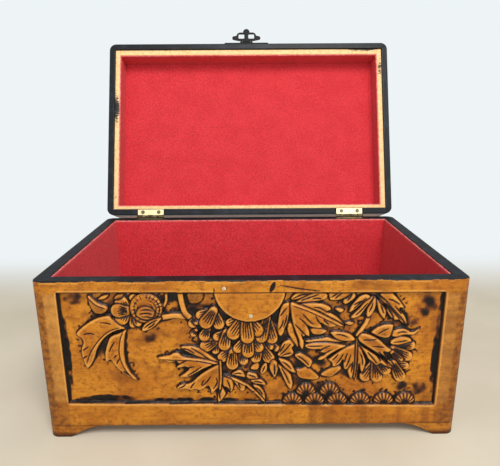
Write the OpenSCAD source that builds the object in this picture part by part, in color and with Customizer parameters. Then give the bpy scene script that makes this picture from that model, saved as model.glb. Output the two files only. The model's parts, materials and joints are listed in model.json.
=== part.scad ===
// Wooden jewelry box with a carved front, a hinged lid that leans back on its stops, and a small swing latch.
// Millimetres. X to the right, Y to the back, Z up. The origin is on the floor, at the centre of the
// body's footprint, and the rest position is the lid fully open.

/* [Body] */
// Outer width of the box
body_w = 280; // [200:1:360]
// Outer depth of the box
body_d = 175.5; // [130:0.5:240]
// Height of the body's rim above the floor
rim_h = 114.2; // [80:0.1:160]
// Thickness of the four body boards
board_t = 9.5; // [8:0.1:14]
// Radius of the vertical corners, seen from above
corner_r = 6.5; // [2:0.1:7.5]
// Thickness of the bottom board
bottom_t = 4; // [3:0.1:8]
// Height of the bottom board above the lower edge of the boards
bottom_raise = 1.2; // [0:0.1:6]

/* [Carved panels] */
// Width of the plain upright border at each end of a panel
stile_w = 16.2; // [12:0.1:24]
// Height of the plain border above a panel
top_rail_h = 8.6; // [6:0.1:14]
// Height of the plain border below a panel
bottom_rail_h = 16; // [10:0.1:22]
// Depth of the sunk ground of the body's panels
panel_depth = 3; // [1.5:0.1:4]
// Radius of the flat round boss behind the latch
boss_r = 23.2; // [16:0.1:30]
// Depth of the boss's centre below the rim
boss_drop = 5.5; // [0:0.1:10]
// Border around the lid's top panel
lid_border = 15; // [10:0.5:25]
// Depth of the sunk ground of the lid's top panel
lid_panel_depth = 3; // [1.5:0.1:4]
// Border around the narrow panels of the lid's rails
rail_border = 4.5; // [3:0.1:6]
// Depth of the narrow panels of the lid's rails
rail_panel_depth = 1.5; // [0.5:0.1:2]
// Half width of the plain stretch of the lid's front rail behind the latch
rail_boss_half = 27; // [24:0.5:40]

/* [Feet] */
// Height of the corner feet
foot_h = 8.5; // [5:0.1:16]
// Length of a foot's flat underside along each side of its corner
foot_flat = 15; // [12:0.5:25]
// Length of a foot along each side of its corner, where it meets the boards
foot_len = 36; // [28:0.5:50]

/* [Lid] */
// Height of the lid from its rim to its top
lid_h = 31.5; // [26:0.1:50]
// Thickness of the lid's top board
lid_top_t = 9; // [6:0.1:12]
// Thickness of the lid's rails, the black rim
rail_t = 5.8; // [5.4:0.1:9]
// Thickness of the pale liner strips at the lid's two ends
liner_t = 4.5; // [3:0.1:8]
// Thickness of the liner strip along the lid's front
liner_front_t = 5.3; // [3:0.1:8]
// Thickness of the liner strip along the lid's hinges
liner_back_t = 3.1; // [3:0.1:8]
// Depth of the liner strips below the lid's rim
liner_recess = 1.75; // [1.2:0.05:4]
// How far the lid stands out beyond the body at each end
lid_over = 1.5; // [0:0.1:3]
// Sideways offset of the lid on the body
lid_shift = -0.5; // [-2:0.1:2]
// Gap between the two rims when the lid is shut
lid_gap = 1; // [0.6:0.1:1.6]
// Opening angle at which the lid rests on its stops
lid_open = 109.4; // [95:0.1:115]

/* [Lining] */
// Thickness of the felt
felt_t = 0.9; // [0.6:0.1:2]
// Distance of the wall felt's upper edge below the rim
felt_drop = 0.6; // [0.2:0.1:3]
// Gap around the floor felt
felt_gap = 0.2; // [0.1:0.1:1]

/* [Hinges] */
// Distance of each hinge's centre from the middle of the box
hinge_x = 98.6; // [60:0.1:115]
// Length of a hinge leaf along the rim
leaf_w = 25.4; // [20:0.1:40]
// Width of the body's hinge leaf across the rim
leaf_d = 7.7; // [6.5:0.1:8]
// Width of the lid's hinge leaf across the rail
lid_leaf_d = 5.3; // [4.8:0.1:5.4]
// Thickness of a hinge leaf
leaf_t = 0.8; // [0.6:0.1:1]
// Radius of the hinge barrel
barrel_r = 1.5; // [1.4:0.1:1.8]
// Clear distance between the barrel and the back of the box
barrel_clear = 0.4; // [0.3:0.1:1]
// Radius of the hinge pin
pin_r = 0.6; // [0.5:0.05:0.7]
// Running clearance around a pin, on the radius
pin_clear = 0.05; // [0.02:0.01:0.1]
// Gap between two neighbouring knuckles
knuckle_gap = 0.15; // [0.1:0.05:0.3]
// Length of the stop ears below the barrel
ear_len = 4.5; // [3:0.1:6]
// Gap between the stop ears and the back of the box when fully open
ear_gap = 0.05; // [0.02:0.01:0.1]
// Distance of each hinge screw from its leaf's centre
screw_offset = 7.8; // [6:0.1:9]
// Distance of the body's hinge screws from the back edge of the rim
screw_inset = 4; // [3.4:0.1:4.2]
// Distance of the lid's hinge screws from the back edge of the rail
lid_screw_inset = 2.7; // [2.4:0.1:2.9]
// Radius of a hinge screw's head
screw_head_r = 1.9; // [1.6:0.1:2]
// Radius of a hinge screw's shank
screw_r = 0.85; // [0.7:0.05:0.9]
// Length of a hinge screw
screw_len = 8; // [6:0.5:10]

/* [Latch] */
// Sideways place of the latch, to the right of the body's middle
latch_x = -2.6; // [-4:0.1:2]
// Width of the latch's mounting plate
plate_w = 45; // [38:0.1:48]
// Height of the latch's mounting plate
plate_h = 12; // [10:0.1:14]
// Thickness of the latch's mounting plate
plate_t = 1; // [0.8:0.1:1.5]
// Distance of the mounting plate from the lid's rim
plate_inset = 0.6; // [0.2:0.1:2]
// Distance of the latch's pivot from the lid's rim
latch_inset = 4; // [3:0.1:6]
// Clear distance between the latch's knuckle and its plate
latch_clear = 0.3; // [0.2:0.05:0.6]
// Width of the hasp's knuckle
hasp_knuckle_w = 8; // [6:0.1:10]
// Width of the lug on each side of the knuckle
lug_w = 1.8; // [1.2:0.1:3]
// Gap between the knuckle and a lug
lug_gap = 0.2; // [0.1:0.05:0.4]
// Thickness of the hasp
hasp_t = 1.2; // [0.8:0.1:1.6]
// Distance of the hasp's outermost points from its middle
hasp_half_w = 14.5; // [12:0.1:18]
// Distance of the hasp's shoulders from its pivot
hasp_shoulder = 10.5; // [9.6:0.1:14]
// Width of the hasp across its shoulders
hasp_shoulder_w = 20.2; // [18.4:0.1:24]
// Radius of the hasp's round end
hasp_knob_r = 3.3; // [2:0.1:4]
// Width of the bar between the hasp's two windows
hasp_bar_w = 4.2; // [3:0.1:6]
// Width of each window
window_w = 5.9; // [4.2:0.1:6]
// Height of each window
window_h = 4.8; // [4.2:0.1:5.4]

/* [Hidden] */

$fn = 48;
wood = [0.72, 0.46, 0.19];
rim_black = [0.13, 0.14, 0.15];
bare_wood = [0.93, 0.8, 0.6];
felt_red = [0.78, 0.13, 0.17];
brass = [0.85, 0.72, 0.42];
iron = [0.12, 0.12, 0.13];

over = 1;                                          // how far a cutter runs past the face it cuts
board_h = rim_h - foot_h;
floor_z = foot_h + bottom_raise + bottom_t;        // top of the bottom board
in_w = body_w - 2 * board_t;
in_d = body_d - 2 * board_t;
field_z0 = foot_h + bottom_rail_h;
field_z1 = rim_h - top_rail_h;
boss_z = rim_h - boss_drop;
hinge_y = body_d / 2 + barrel_clear + barrel_r;
hinge_z = rim_h + lid_gap / 2;
lid_z = rim_h + lid_gap;                           // the lid's rim when shut
rail_h = lid_h - lid_top_t;
top_z = lid_z + rail_h;                            // underside of the lid's top board when shut
lid_w = body_w + 2 * lid_over;
liner_w = lid_w - 2 * rail_t;
liner_d = body_d - 2 * rail_t;
lid_in_w = liner_w - 2 * liner_t;
lid_in_d = liner_d - liner_front_t - liner_back_t;
lid_in_y = (liner_front_t - liner_back_t) / 2;     // middle of the lid's hollow, front to back
knuckles = 5;
knuckle_w = (leaf_w - (knuckles - 1) * knuckle_gap) / knuckles;
knuckle_pitch = knuckle_w + knuckle_gap;
ear_t = 0.8;
pin_head_t = 0.5;
screw_clear = 0.04;
screw_point = 2;
nail_r = 0.5;
nail_head_r = 1.3;
nail_head_t = 0.5;
nail_len = 5;
nail_x = [-17.4, -0.5];                            // two nails left from a catch that is gone
nail_depth = [5.3, 24.5];                          // how far below the rim each one is
latch_y = -body_d / 2 - plate_t - latch_clear - barrel_r;
latch_z = lid_z + latch_inset;
latch_axis_h = latch_clear + barrel_r;             // pivot above the mounting plate
heel_w = 1.3;
heel_gap = 0.05;
plate_corner_r = 2;
plate_nail_x = plate_w / 2 - 4.5;
plate_nail_len = 4;
hasp_low = 1.8;                                    // height of the hasp's lower edge above its pivot
hasp_corner_r = 4;
lobe_z = 4.7;                                      // height of the hasp's side lobes above its pivot
lobe_r = 1.8;
window_z = 6.4;                                    // height of the middle of the windows
window_corner_r = 0.8;
foot_steps = 12;

// A flat rounded rectangle, centred.
module outline(w, d, r) {
  square([w - 2 * r, d], center = true);
  square([w, d - 2 * r], center = true);
  for (sx = [-1, 1], sy = [-1, 1])
    translate([sx * (w / 2 - r), sy * (d / 2 - r)]) circle(r);
}

// The wedge between two mitre lines that one board of a frame fills. The board lies on the front side.
module mitre_wedge(w, d, t) {
  polygon([
    [-w / 2 - over, -d / 2 - over], [w / 2 + over, -d / 2 - over],
    [w / 2 - t, -d / 2 + t], [-w / 2 + t, -d / 2 + t]
  ]);
}

// One mitred board of a rectangular frame: turn 0 is the front, 1 the right, 2 the back, 3 the left.
module frame_board(turn, w, d, t, r, z, h) {
  across = turn % 2 == 0 ? w : d;
  along = turn % 2 == 0 ? d : w;
  translate([0, 0, z]) intersection() {
    linear_extrude(h) if (r > 0) outline(w, d, r); else square([w, d], center = true);
    rotate([0, 0, 90 * turn]) translate([0, 0, -over])
      linear_extrude(h + 2 * over) mitre_wedge(across, along, t);
  }
}

// A sunk panel in the board on the given side of a box outer_w wide: width w between z0 and z1, cut to depth.
module sunk_panel(turn, outer_w, w, z0, z1, depth) {
  face = (turn % 2 == 0 ? body_d : outer_w) / 2;
  rotate([0, 0, 90 * turn])
    translate([-w / 2, -face - over, z0]) cube([w, depth + over, z1 - z0]);
}

// Everything of the lid is drawn where it lies when the lid is shut, and swung open about the hinges.
module swung_open() {
  translate([0, hinge_y, hinge_z]) rotate([-lid_open, 0, 0])
    translate([0, -hinge_y, -hinge_z]) children();
}

module lid_place() {
  swung_open() translate([lid_shift, 0, 0]) children();
}

// ---- body boards ----

// The recess of one hinge leaf of width d in a rim, between the heights z0 and z1.
module hinge_recess(side, d, z0, z1) {
  translate([side * hinge_x - leaf_w / 2, body_d / 2 - d, z0])
    cube([leaf_w, d + over, z1 - z0]);
}

// The four places of the hinge screws in the plane of a rim at height z.
module at_screws(inset, z) {
  for (side = [-1, 1], k = [-1, 1])
    translate([side * hinge_x + k * screw_offset, body_d / 2 - inset, z]) children();
}

module screw(clear) {
  rotate_extrude() polygon([
    [0, 0], [screw_head_r + clear, 0], [screw_r + clear, -leaf_t],
    [screw_r + clear, screw_point - screw_len], [0, -screw_len]
  ]);
}

module catch_nail_shape(r, head) {
  rotate([90, 0, 0]) {
    translate([0, 0, -nail_len]) cylinder(r = r, h = nail_len);
    if (head) cylinder(r = nail_head_r, h = nail_head_t);
  }
}

module at_catch_nails() {
  for (i = [0, 1]) translate([nail_x[i], -body_d / 2, rim_h - nail_depth[i]]) children();
}

module front_board() {
  color(wood) difference() {
    frame_board(0, body_w, body_d, board_t, corner_r, foot_h, board_h);
    difference() {
      sunk_panel(0, body_w, body_w - 2 * stile_w, field_z0, field_z1, panel_depth);
      translate([0, -body_d / 2 + panel_depth + over, boss_z]) rotate([90, 0, 0])
        cylinder(r = boss_r, h = panel_depth + 3 * over);
    }
    at_catch_nails() catch_nail_shape(nail_r, false);
  }
}

module back_board() {
  color(wood) difference() {
    frame_board(2, body_w, body_d, board_t, corner_r, foot_h, board_h);
    sunk_panel(2, body_w, body_w - 2 * stile_w, field_z0, field_z1, panel_depth);
    for (side = [-1, 1]) hinge_recess(side, leaf_d, rim_h - leaf_t, rim_h + over);
    at_screws(screw_inset, rim_h) screw(screw_clear);
  }
}

module side_board(turn) {
  color(wood) difference() {
    frame_board(turn, body_w, body_d, board_t, corner_r, foot_h, board_h);
    sunk_panel(turn, body_w, body_d - 2 * stile_w, field_z0, field_z1, panel_depth);
  }
}

module left_board() side_board(3);
module right_board() side_board(1);

module bottom_board() {
  color(wood) translate([-in_w / 2, -in_d / 2, foot_h + bottom_raise]) cube([in_w, in_d, bottom_t]);
}

// ---- feet ----

// The face of a foot: flat below, then a hollow curve up to the boards.
module foot_face() {
  polygon(concat(
    [[0, 0]],
    [for (i = [0:foot_steps])
      let (s = i / foot_steps)
      [foot_flat + (foot_len - foot_flat) * s, foot_h * sin(90 * s)]],
    [[0, foot_h]]
  ));
}

// A foot at the front left corner.
module corner_foot() {
  intersection() {
    union() {
      translate([-body_w / 2, -body_d / 2 + board_t, 0]) rotate([90, 0, 0])
        linear_extrude(board_t) foot_face();
      translate([-body_w / 2, -body_d / 2, 0]) rotate([90, 0, 90])
        linear_extrude(board_t) foot_face();
    }
    linear_extrude(foot_h) outline(body_w, body_d, corner_r);
  }
}

module foot_front_left() color(wood) corner_foot();
module foot_front_right() color(wood) mirror([1, 0, 0]) corner_foot();
module foot_back_left() color(wood) mirror([0, 1, 0]) corner_foot();
module foot_back_right() color(wood) rotate([0, 0, 180]) corner_foot();

// ---- felt inside the body ----

module wall_felt(turn) {
  color(felt_red) frame_board(turn, in_w, in_d, felt_t, 0, floor_z, rim_h - felt_drop - floor_z);
}

module lining_front() wall_felt(0);
module lining_right() wall_felt(1);
module lining_back() wall_felt(2);
module lining_left() wall_felt(3);
module lining_floor() {
  edge = felt_t + felt_gap;
  color(felt_red) translate([-in_w / 2 + edge, -in_d / 2 + edge, floor_z])
    cube([in_w - 2 * edge, in_d - 2 * edge, felt_t]);
}

// ---- what is left of the lost catch ----

module catch_nails() {
  color(iron) at_catch_nails() catch_nail_shape(nail_r, true);
}

// ---- hinges ----

// One knuckle of a hinge, counted from its left end.
module at_knuckle(side, i) {
  translate([side * hinge_x - leaf_w / 2 + i * knuckle_pitch, 0, 0]) children();
}

module knuckle() {
  translate([0, hinge_y, hinge_z]) rotate([0, 90, 0]) cylinder(r = barrel_r, h = knuckle_w);
}

module hinge_bore(side, r) {
  translate([side * hinge_x - leaf_w / 2 - over, hinge_y, hinge_z]) rotate([0, 90, 0])
    cylinder(r = r, h = leaf_w + 2 * over);
}

// A leaf of width d lies on its rim from z upwards and reaches its own knuckles with narrow tongues.
module leaf(side, d, z, own) {
  translate([side * hinge_x - leaf_w / 2, body_d / 2 - d, z]) cube([leaf_w, d, leaf_t]);
  for (i = own) at_knuckle(side, i) {
    translate([0, body_d / 2 - over, z]) cube([knuckle_w, hinge_y - body_d / 2 + over, leaf_t]);
    knuckle();
  }
}

module body_leaf(side) {
  color(brass) difference() {
    leaf(side, leaf_d, rim_h - leaf_t, [0, 2, 4]);
    hinge_bore(side, pin_r);
    at_screws(screw_inset, rim_h) screw(screw_clear);
  }
}

// The ears hang below the lid's knuckles and meet the back of the box when the lid is open.
module stop_ears(side) {
  for (i = [1, 3]) at_knuckle(side, i)
    translate([0, body_d / 2 + ear_gap, hinge_z - ear_len]) cube([knuckle_w, ear_t, ear_len]);
}

module lid_leaf(side) {
  color(brass) difference() {
    union() {
      swung_open() leaf(side, lid_leaf_d, lid_z, [1, 3]);
      stop_ears(side);
    }
    hinge_bore(side, pin_r + pin_clear);
    swung_open() at_screws(lid_screw_inset, lid_z) mirror([0, 0, 1]) screw(screw_clear);
  }
}

module hinge_pin(side) {
  color(brass) translate([side * hinge_x - leaf_w / 2, hinge_y, hinge_z]) rotate([0, 90, 0]) {
    cylinder(r = pin_r, h = leaf_w);
    translate([0, 0, -pin_head_t]) cylinder(r = barrel_r, h = pin_head_t);
    translate([0, 0, leaf_w]) cylinder(r = barrel_r, h = pin_head_t);
  }
}

module hinge_body_leaf_left() body_leaf(-1);
module hinge_body_leaf_right() body_leaf(1);
module hinge_lid_leaf_left() lid_leaf(-1);
module hinge_lid_leaf_right() lid_leaf(1);
module hinge_pin_left() hinge_pin(-1);
module hinge_pin_right() hinge_pin(1);
module hinge_body_screws() color(brass) at_screws(screw_inset, rim_h) screw(0);
module hinge_lid_screws() {
  color(brass) swung_open() at_screws(lid_screw_inset, lid_z) mirror([0, 0, 1]) screw(0);
}

// ---- lid ----

module lid_top_board() {
  color(wood) lid_place() difference() {
    translate([0, 0, top_z]) linear_extrude(lid_top_t) outline(lid_w, body_d, corner_r);
    translate([-lid_w / 2 + lid_border, -body_d / 2 + lid_border, lid_z + lid_h - lid_panel_depth])
      cube([lid_w - 2 * lid_border, body_d - 2 * lid_border, lid_panel_depth + over]);
  }
}

module rail(turn) {
  frame_board(turn, lid_w, body_d, rail_t, min(corner_r, rail_t), lid_z, rail_h);
}

module rail_panel(turn, w) {
  sunk_panel(turn, lid_w, w, lid_z + rail_border, top_z - rail_border, rail_panel_depth);
}

module plate_nail_shape(r, head) {
  rotate([90, 0, 0]) {
    translate([0, 0, -plate_nail_len]) cylinder(r = r, h = plate_nail_len + plate_t + over);
    if (head) translate([0, 0, plate_t]) cylinder(r = nail_head_r, h = nail_head_t);
  }
}

module at_plate_nails() {
  for (k = [-1, 1])
    translate([latch_x + k * plate_nail_x, -body_d / 2, lid_z + plate_inset + plate_h / 2]) children();
}

module lid_front_rail() {
  color(wood) swung_open() difference() {
    translate([lid_shift, 0, 0]) difference() {
      rail(0);
      difference() {
        rail_panel(0, lid_w - 2 * stile_w);
        translate([-rail_boss_half, -body_d / 2 - 2 * over, lid_z])
          cube([2 * rail_boss_half, board_t, rail_h]);
      }
    }
    at_plate_nails() plate_nail_shape(nail_r, false);
  }
}

module lid_back_rail() {
  color(wood) swung_open() difference() {
    translate([lid_shift, 0, 0]) rail(2);
    for (side = [-1, 1]) hinge_recess(side, lid_leaf_d, lid_z - over, lid_z + leaf_t);
    at_screws(lid_screw_inset, lid_z) mirror([0, 0, 1]) screw(screw_clear);
  }
}

module lid_side_rail(turn) {
  color(wood) lid_place() difference() {
    rail(turn);
    rail_panel(turn, body_d - 2 * stile_w);
  }
}

module lid_left_rail() lid_side_rail(3);
module lid_right_rail() lid_side_rail(1);

// A bare strip inside the rails, from the corner (x, y). It stops short of the rim.
module liner(x, y, w, d) {
  color(bare_wood) lid_place()
    translate([x, y, lid_z + liner_recess]) cube([w, d, rail_h - liner_recess]);
}

module lid_liner_front() liner(-lid_in_w / 2, -liner_d / 2, lid_in_w, liner_front_t);
module lid_liner_right() liner(lid_in_w / 2, -liner_d / 2, liner_t, liner_d);
module lid_liner_back() liner(-lid_in_w / 2, liner_d / 2 - liner_back_t, lid_in_w, liner_back_t);
module lid_liner_left() liner(-liner_w / 2, -liner_d / 2, liner_t, liner_d);

module lid_lining_top() {
  color(felt_red) lid_place()
    translate([-lid_in_w / 2, lid_in_y - lid_in_d / 2, top_z - felt_t])
      cube([lid_in_w, lid_in_d, felt_t]);
}

module lid_felt(turn) {
  low = lid_z + liner_recess + felt_drop;
  color(felt_red) lid_place() translate([0, lid_in_y, 0])
    frame_board(turn, lid_in_w, lid_in_d, felt_t, 0, low, top_z - felt_t - low);
}

module lid_felt_front() lid_felt(0);
module lid_felt_right() lid_felt(1);
module lid_felt_back() lid_felt(2);
module lid_felt_left() lid_felt(3);

// ---- latch ----

module latch_lugs() {
  for (k = [-1, 1])
    translate([latch_x + k * (hasp_knuckle_w / 2 + lug_gap + lug_w / 2), 0, 0]) {
      translate([-lug_w / 2, latch_y, latch_z]) rotate([0, 90, 0]) cylinder(r = barrel_r, h = lug_w);
      translate([-lug_w / 2, latch_y, latch_z - barrel_r])
        cube([lug_w, latch_axis_h + plate_t / 2, 2 * barrel_r]);
    }
}

module latch_bore(r) {
  translate([latch_x - plate_w / 2, latch_y, latch_z]) rotate([0, 90, 0]) cylinder(r = r, h = plate_w);
}

module latch_plate() {
  color(iron) swung_open() difference() {
    union() {
      translate([latch_x, -body_d / 2, lid_z + plate_inset + plate_h / 2]) rotate([90, 0, 0])
        linear_extrude(plate_t) outline(plate_w, plate_h, plate_corner_r);
      latch_lugs();
    }
    latch_bore(pin_r);
    at_plate_nails() plate_nail_shape(nail_r, false);
  }
}

module latch_pin() {
  half = hasp_knuckle_w / 2 + lug_gap + lug_w;
  color(iron) swung_open() translate([latch_x - half, latch_y, latch_z]) rotate([0, 90, 0]) {
    cylinder(r = pin_r, h = 2 * half);
    translate([0, 0, -pin_head_t]) cylinder(r = pin_r * 1.6, h = pin_head_t);
    translate([0, 0, 2 * half]) cylinder(r = pin_r * 1.6, h = pin_head_t);
  }
}

module latch_plate_nails() {
  color(iron) swung_open() at_plate_nails() difference() {
    plate_nail_shape(nail_r, true);
    translate([0, -plate_t - nail_head_t - over, 0]) cube(2 * over, center = true);
  }
}

// A flat tapered bar with round ends: radius r0 at x0 and r1 at x1.
module taper(x0, r0, x1, r1) {
  turn = asin((r0 - r1) / (x1 - x0));
  translate([x0, 0]) circle(r0);
  translate([x1, 0]) circle(r1);
  polygon([
    [x0 + r0 * sin(turn), -r0 * cos(turn)], [x1 + r1 * sin(turn), -r1 * cos(turn)],
    [x1 + r1 * sin(turn), r1 * cos(turn)], [x0 + r0 * sin(turn), r0 * cos(turn)]
  ]);
}

// The hasp's face, upwards from its pivot at the origin.
module hasp_face() {
  difference() {
    union() {
      translate([-hasp_knuckle_w / 2, 0]) square([hasp_knuckle_w, lobe_z]);
      translate([0, (hasp_low + hasp_shoulder) / 2])
        outline(hasp_shoulder_w, hasp_shoulder - hasp_low, hasp_corner_r);
      for (k = [0, 1]) mirror([k, 0]) translate([0, lobe_z])
        taper(hasp_half_w / 2, lobe_z - hasp_low, hasp_half_w - lobe_r, lobe_r);
      translate([0, hasp_shoulder + 0.4]) circle(hasp_knob_r);
    }
    for (k = [-1, 1]) translate([k * (hasp_bar_w + window_w) / 2, window_z])
      outline(window_w, window_h, window_corner_r);
  }
}

// The hasp as it hangs down over the front of the shut box, with its heel above the pivot.
module hasp_hanging() {
  rotate([90, 180, 0]) translate([0, 0, -hasp_t / 2]) linear_extrude(hasp_t) hasp_face();
  translate([-hasp_knuckle_w / 2, 0, 0]) rotate([0, 90, 0]) cylinder(r = barrel_r, h = hasp_knuckle_w);
  translate([-hasp_knuckle_w / 2, -heel_w, 0]) cube([hasp_knuckle_w, heel_w, latch_axis_h - heel_gap]);
}

module latch_hasp() {
  color(iron) swung_open() translate([latch_x, latch_y, latch_z]) rotate([-90, 0, 0]) difference() {
    hasp_hanging();
    translate([-plate_w / 2, 0, 0]) rotate([0, 90, 0]) cylinder(r = pin_r + pin_clear, h = plate_w);
  }
}

front_board();
back_board();
left_board();
right_board();
bottom_board();
foot_front_left();
foot_front_right();
foot_back_left();
foot_back_right();
lining_front();
lining_back();
lining_left();
lining_right();
lining_floor();
catch_nails();
hinge_body_leaf_left();
hinge_body_leaf_right();
hinge_pin_left();
hinge_pin_right();
hinge_body_screws();
lid_top_board();
lid_front_rail();
lid_back_rail();
lid_left_rail();
lid_right_rail();
lid_liner_front();
lid_liner_back();
lid_liner_left();
lid_liner_right();
lid_lining_top();
lid_felt_front();
lid_felt_back();
lid_felt_left();
lid_felt_right();
hinge_lid_leaf_left();
hinge_lid_leaf_right();
hinge_lid_screws();
latch_plate();
latch_pin();
latch_plate_nails();
latch_hasp();
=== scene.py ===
import json
import math

import bpy
import numpy as np
from mathutils import Matrix, Vector

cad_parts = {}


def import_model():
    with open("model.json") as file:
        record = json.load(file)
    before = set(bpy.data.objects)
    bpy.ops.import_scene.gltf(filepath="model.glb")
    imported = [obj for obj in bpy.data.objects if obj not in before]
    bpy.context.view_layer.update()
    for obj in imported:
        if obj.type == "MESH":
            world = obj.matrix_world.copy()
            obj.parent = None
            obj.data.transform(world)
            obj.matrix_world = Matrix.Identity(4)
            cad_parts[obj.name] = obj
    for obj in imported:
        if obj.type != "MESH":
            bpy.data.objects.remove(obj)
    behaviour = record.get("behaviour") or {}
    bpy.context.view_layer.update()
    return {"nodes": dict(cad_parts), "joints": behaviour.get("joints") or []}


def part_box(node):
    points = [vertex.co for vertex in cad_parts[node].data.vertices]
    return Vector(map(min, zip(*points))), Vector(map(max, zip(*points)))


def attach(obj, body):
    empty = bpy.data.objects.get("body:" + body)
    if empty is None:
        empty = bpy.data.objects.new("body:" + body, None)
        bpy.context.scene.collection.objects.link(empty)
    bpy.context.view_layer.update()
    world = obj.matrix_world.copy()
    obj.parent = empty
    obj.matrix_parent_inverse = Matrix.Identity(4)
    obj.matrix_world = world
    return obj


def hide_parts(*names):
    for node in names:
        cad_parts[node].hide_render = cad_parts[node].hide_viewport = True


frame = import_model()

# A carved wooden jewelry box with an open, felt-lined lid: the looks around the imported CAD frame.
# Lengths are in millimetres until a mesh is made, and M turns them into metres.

M = 0.001

# ---------------------------------------------------------------- sizes, from the frame


def box_mm(node):
    low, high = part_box(node)
    return np.array(low) / M, np.array(high) / M


def joint(name):
    return next(j for j in frame["joints"] if j["name"] == name)


def turned(points, degrees, pivot):
    """Points turned about an X axis through the pivot."""
    a = math.radians(degrees)
    p = np.array(points, float) - pivot
    y = p[..., 1] * math.cos(a) - p[..., 2] * math.sin(a)
    z = p[..., 1] * math.sin(a) + p[..., 2] * math.cos(a)
    return np.stack([p[..., 0], y, z], -1) + pivot


LID_JOINT = joint("lid_hinge")
LID_OPEN = LID_JOINT["range_deg"][1]
LID_PIVOT = np.array(LID_JOINT["pos_m"]) / M


def shut_box_mm(node):
    """The box that a lid node fills when the lid is shut."""
    co = np.array([v.co for v in frame["nodes"][node].data.vertices]) / M
    co = turned(co, LID_OPEN, LID_PIVOT)
    return co.min(0), co.max(0)


def unshifted_box_mm(node):
    """The same box, without the lid's small sideways shift."""
    low, high = shut_box_mm(node)
    return low - (LID_SHIFT, 0, 0), high - (LID_SHIFT, 0, 0)


BODY_W = box_mm("right_board")[1][0] - box_mm("left_board")[0][0]
BODY_D = box_mm("back_board")[1][1] - box_mm("front_board")[0][1]
BOARD_Z0, RIM_Z = box_mm("front_board")[0][2], box_mm("front_board")[1][2]
BOARD_T = box_mm("left_board")[1][0] - box_mm("left_board")[0][0]
CORNER_R = (BODY_W / 2 - box_mm("front_board")[1][0]) / (1 - math.cos(math.pi / 4))
RAIL_LOW, RAIL_HIGH = shut_box_mm("lid_left_rail")
RAIL_T = RAIL_HIGH[0] - RAIL_LOW[0]
LID_SHIFT = (shut_box_mm("lid_left_rail")[0][0] + shut_box_mm("lid_right_rail")[1][0]) / 2
LID_W = shut_box_mm("lid_right_rail")[1][0] - shut_box_mm("lid_left_rail")[0][0]
LID_Z0, LID_Z1 = RAIL_LOW[2], RAIL_HIGH[2]
LID_TOP = shut_box_mm("lid_top_board")[1][2]

PANEL_DEPTH = 3.0
STILE = 16.2
BOSS_R = 23.2
BOSS_X, BOSS_Z = -1.2, 108.7
LID_BORDER = 15.0
RAIL_BORDER = 4.5
RAIL_DEPTH = 1.5
RAIL_BOSS = 27.0

PANEL_HALF = 123.8            # the long boards' sunk field, to each side of the middle
PANEL_LOW, PANEL_HIGH = 24.7, 105.6
LEAF_CUT_W, LEAF_CUT_DEPTH = 1.3, 0.9
PETAL_CUT_W, PETAL_CUT_DEPTH = 1.2, 0.9
RIB_HALF, RIB_GROOVE = 0.6, 0.95
LID_MOTIF = 1.15              # the lid's motifs against the front's
SIDES = (("front", 0), ("right", 1), ("back", 2), ("left", 3))   # with their quarter turns

rng = np.random.default_rng(7)

# ---------------------------------------------------------------- carving, as a height field


def smooth(x):
    x = np.clip(x, 0, 1)
    return x * x * (3 - 2 * x)


def blurred(a, radius):
    """Three box blurs, close to a Gaussian. The radius is in grid cells."""
    r = max(1, int(round(radius)))
    for axis in (0, 1) * 3:
        pad = [(0, 0), (0, 0)]
        pad[axis] = (r + 1, r)
        c = np.cumsum(np.pad(a, pad, mode="edge"), axis=axis)
        n = a.shape[axis]
        a = (np.take(c, range(2 * r + 1, 2 * r + 1 + n), axis) - np.take(c, range(n), axis)) / (2 * r + 1)
    return a


def noise_like(a, radius):
    """Smooth noise of about unit size, with features of that radius in cells."""
    n = blurred(rng.standard_normal(a.shape), radius)
    return n / (n.std() + 1e-9)


def closed_curve(points, steps=4):
    """A smooth closed line through the points."""
    p = np.array(points, float)
    a, b, c, d = np.roll(p, 1, 0), p, np.roll(p, -1, 0), np.roll(p, -2, 0)
    out = []
    for s in np.arange(steps) / steps:
        out.append(0.5 * (2 * b + (c - a) * s + (2 * a - 5 * b + 4 * c - d) * s**2
                          + (3 * b - a - 3 * c + d) * s**3))
    return np.stack(out, 1).reshape(-1, 2)


def open_curve(points, steps=5):
    p = np.array(points, float)
    if len(p) == 2:
        return p
    q = np.vstack([2 * p[0] - p[1], p, 2 * p[-1] - p[-2]])
    out = []
    for i in range(len(p) - 1):
        a, b, c, d = q[i:i + 4]
        for s in np.arange(steps) / steps:
            out.append(0.5 * (2 * b + (c - a) * s + (2 * a - 5 * b + 4 * c - d) * s**2
                              + (3 * b - a - 3 * c + d) * s**3))
    return np.array(out + [p[-1]])


def polygon_depth(x, z, poly):
    """Distance to a closed outline, positive inside."""
    a, b = poly, np.roll(poly, -1, 0)
    ab = b - a
    px, pz = x.reshape(-1, 1), z.reshape(-1, 1)
    t = ((px - a[:, 0]) * ab[:, 0] + (pz - a[:, 1]) * ab[:, 1]) / ((ab**2).sum(1) + 1e-12)
    t = np.clip(t, 0, 1)
    d = np.hypot(px - a[:, 0] - t * ab[:, 0], pz - a[:, 1] - t * ab[:, 1]).min(1)
    rise = np.where(np.abs(ab[:, 1]) < 1e-9, 1e-9, ab[:, 1])
    crossing = ((a[:, 1] > pz) != (b[:, 1] > pz)) & (px < ab[:, 0] * (pz - a[:, 1]) / rise + a[:, 0])
    return np.where(crossing.sum(1) % 2 == 1, d, -d).reshape(x.shape)


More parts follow.
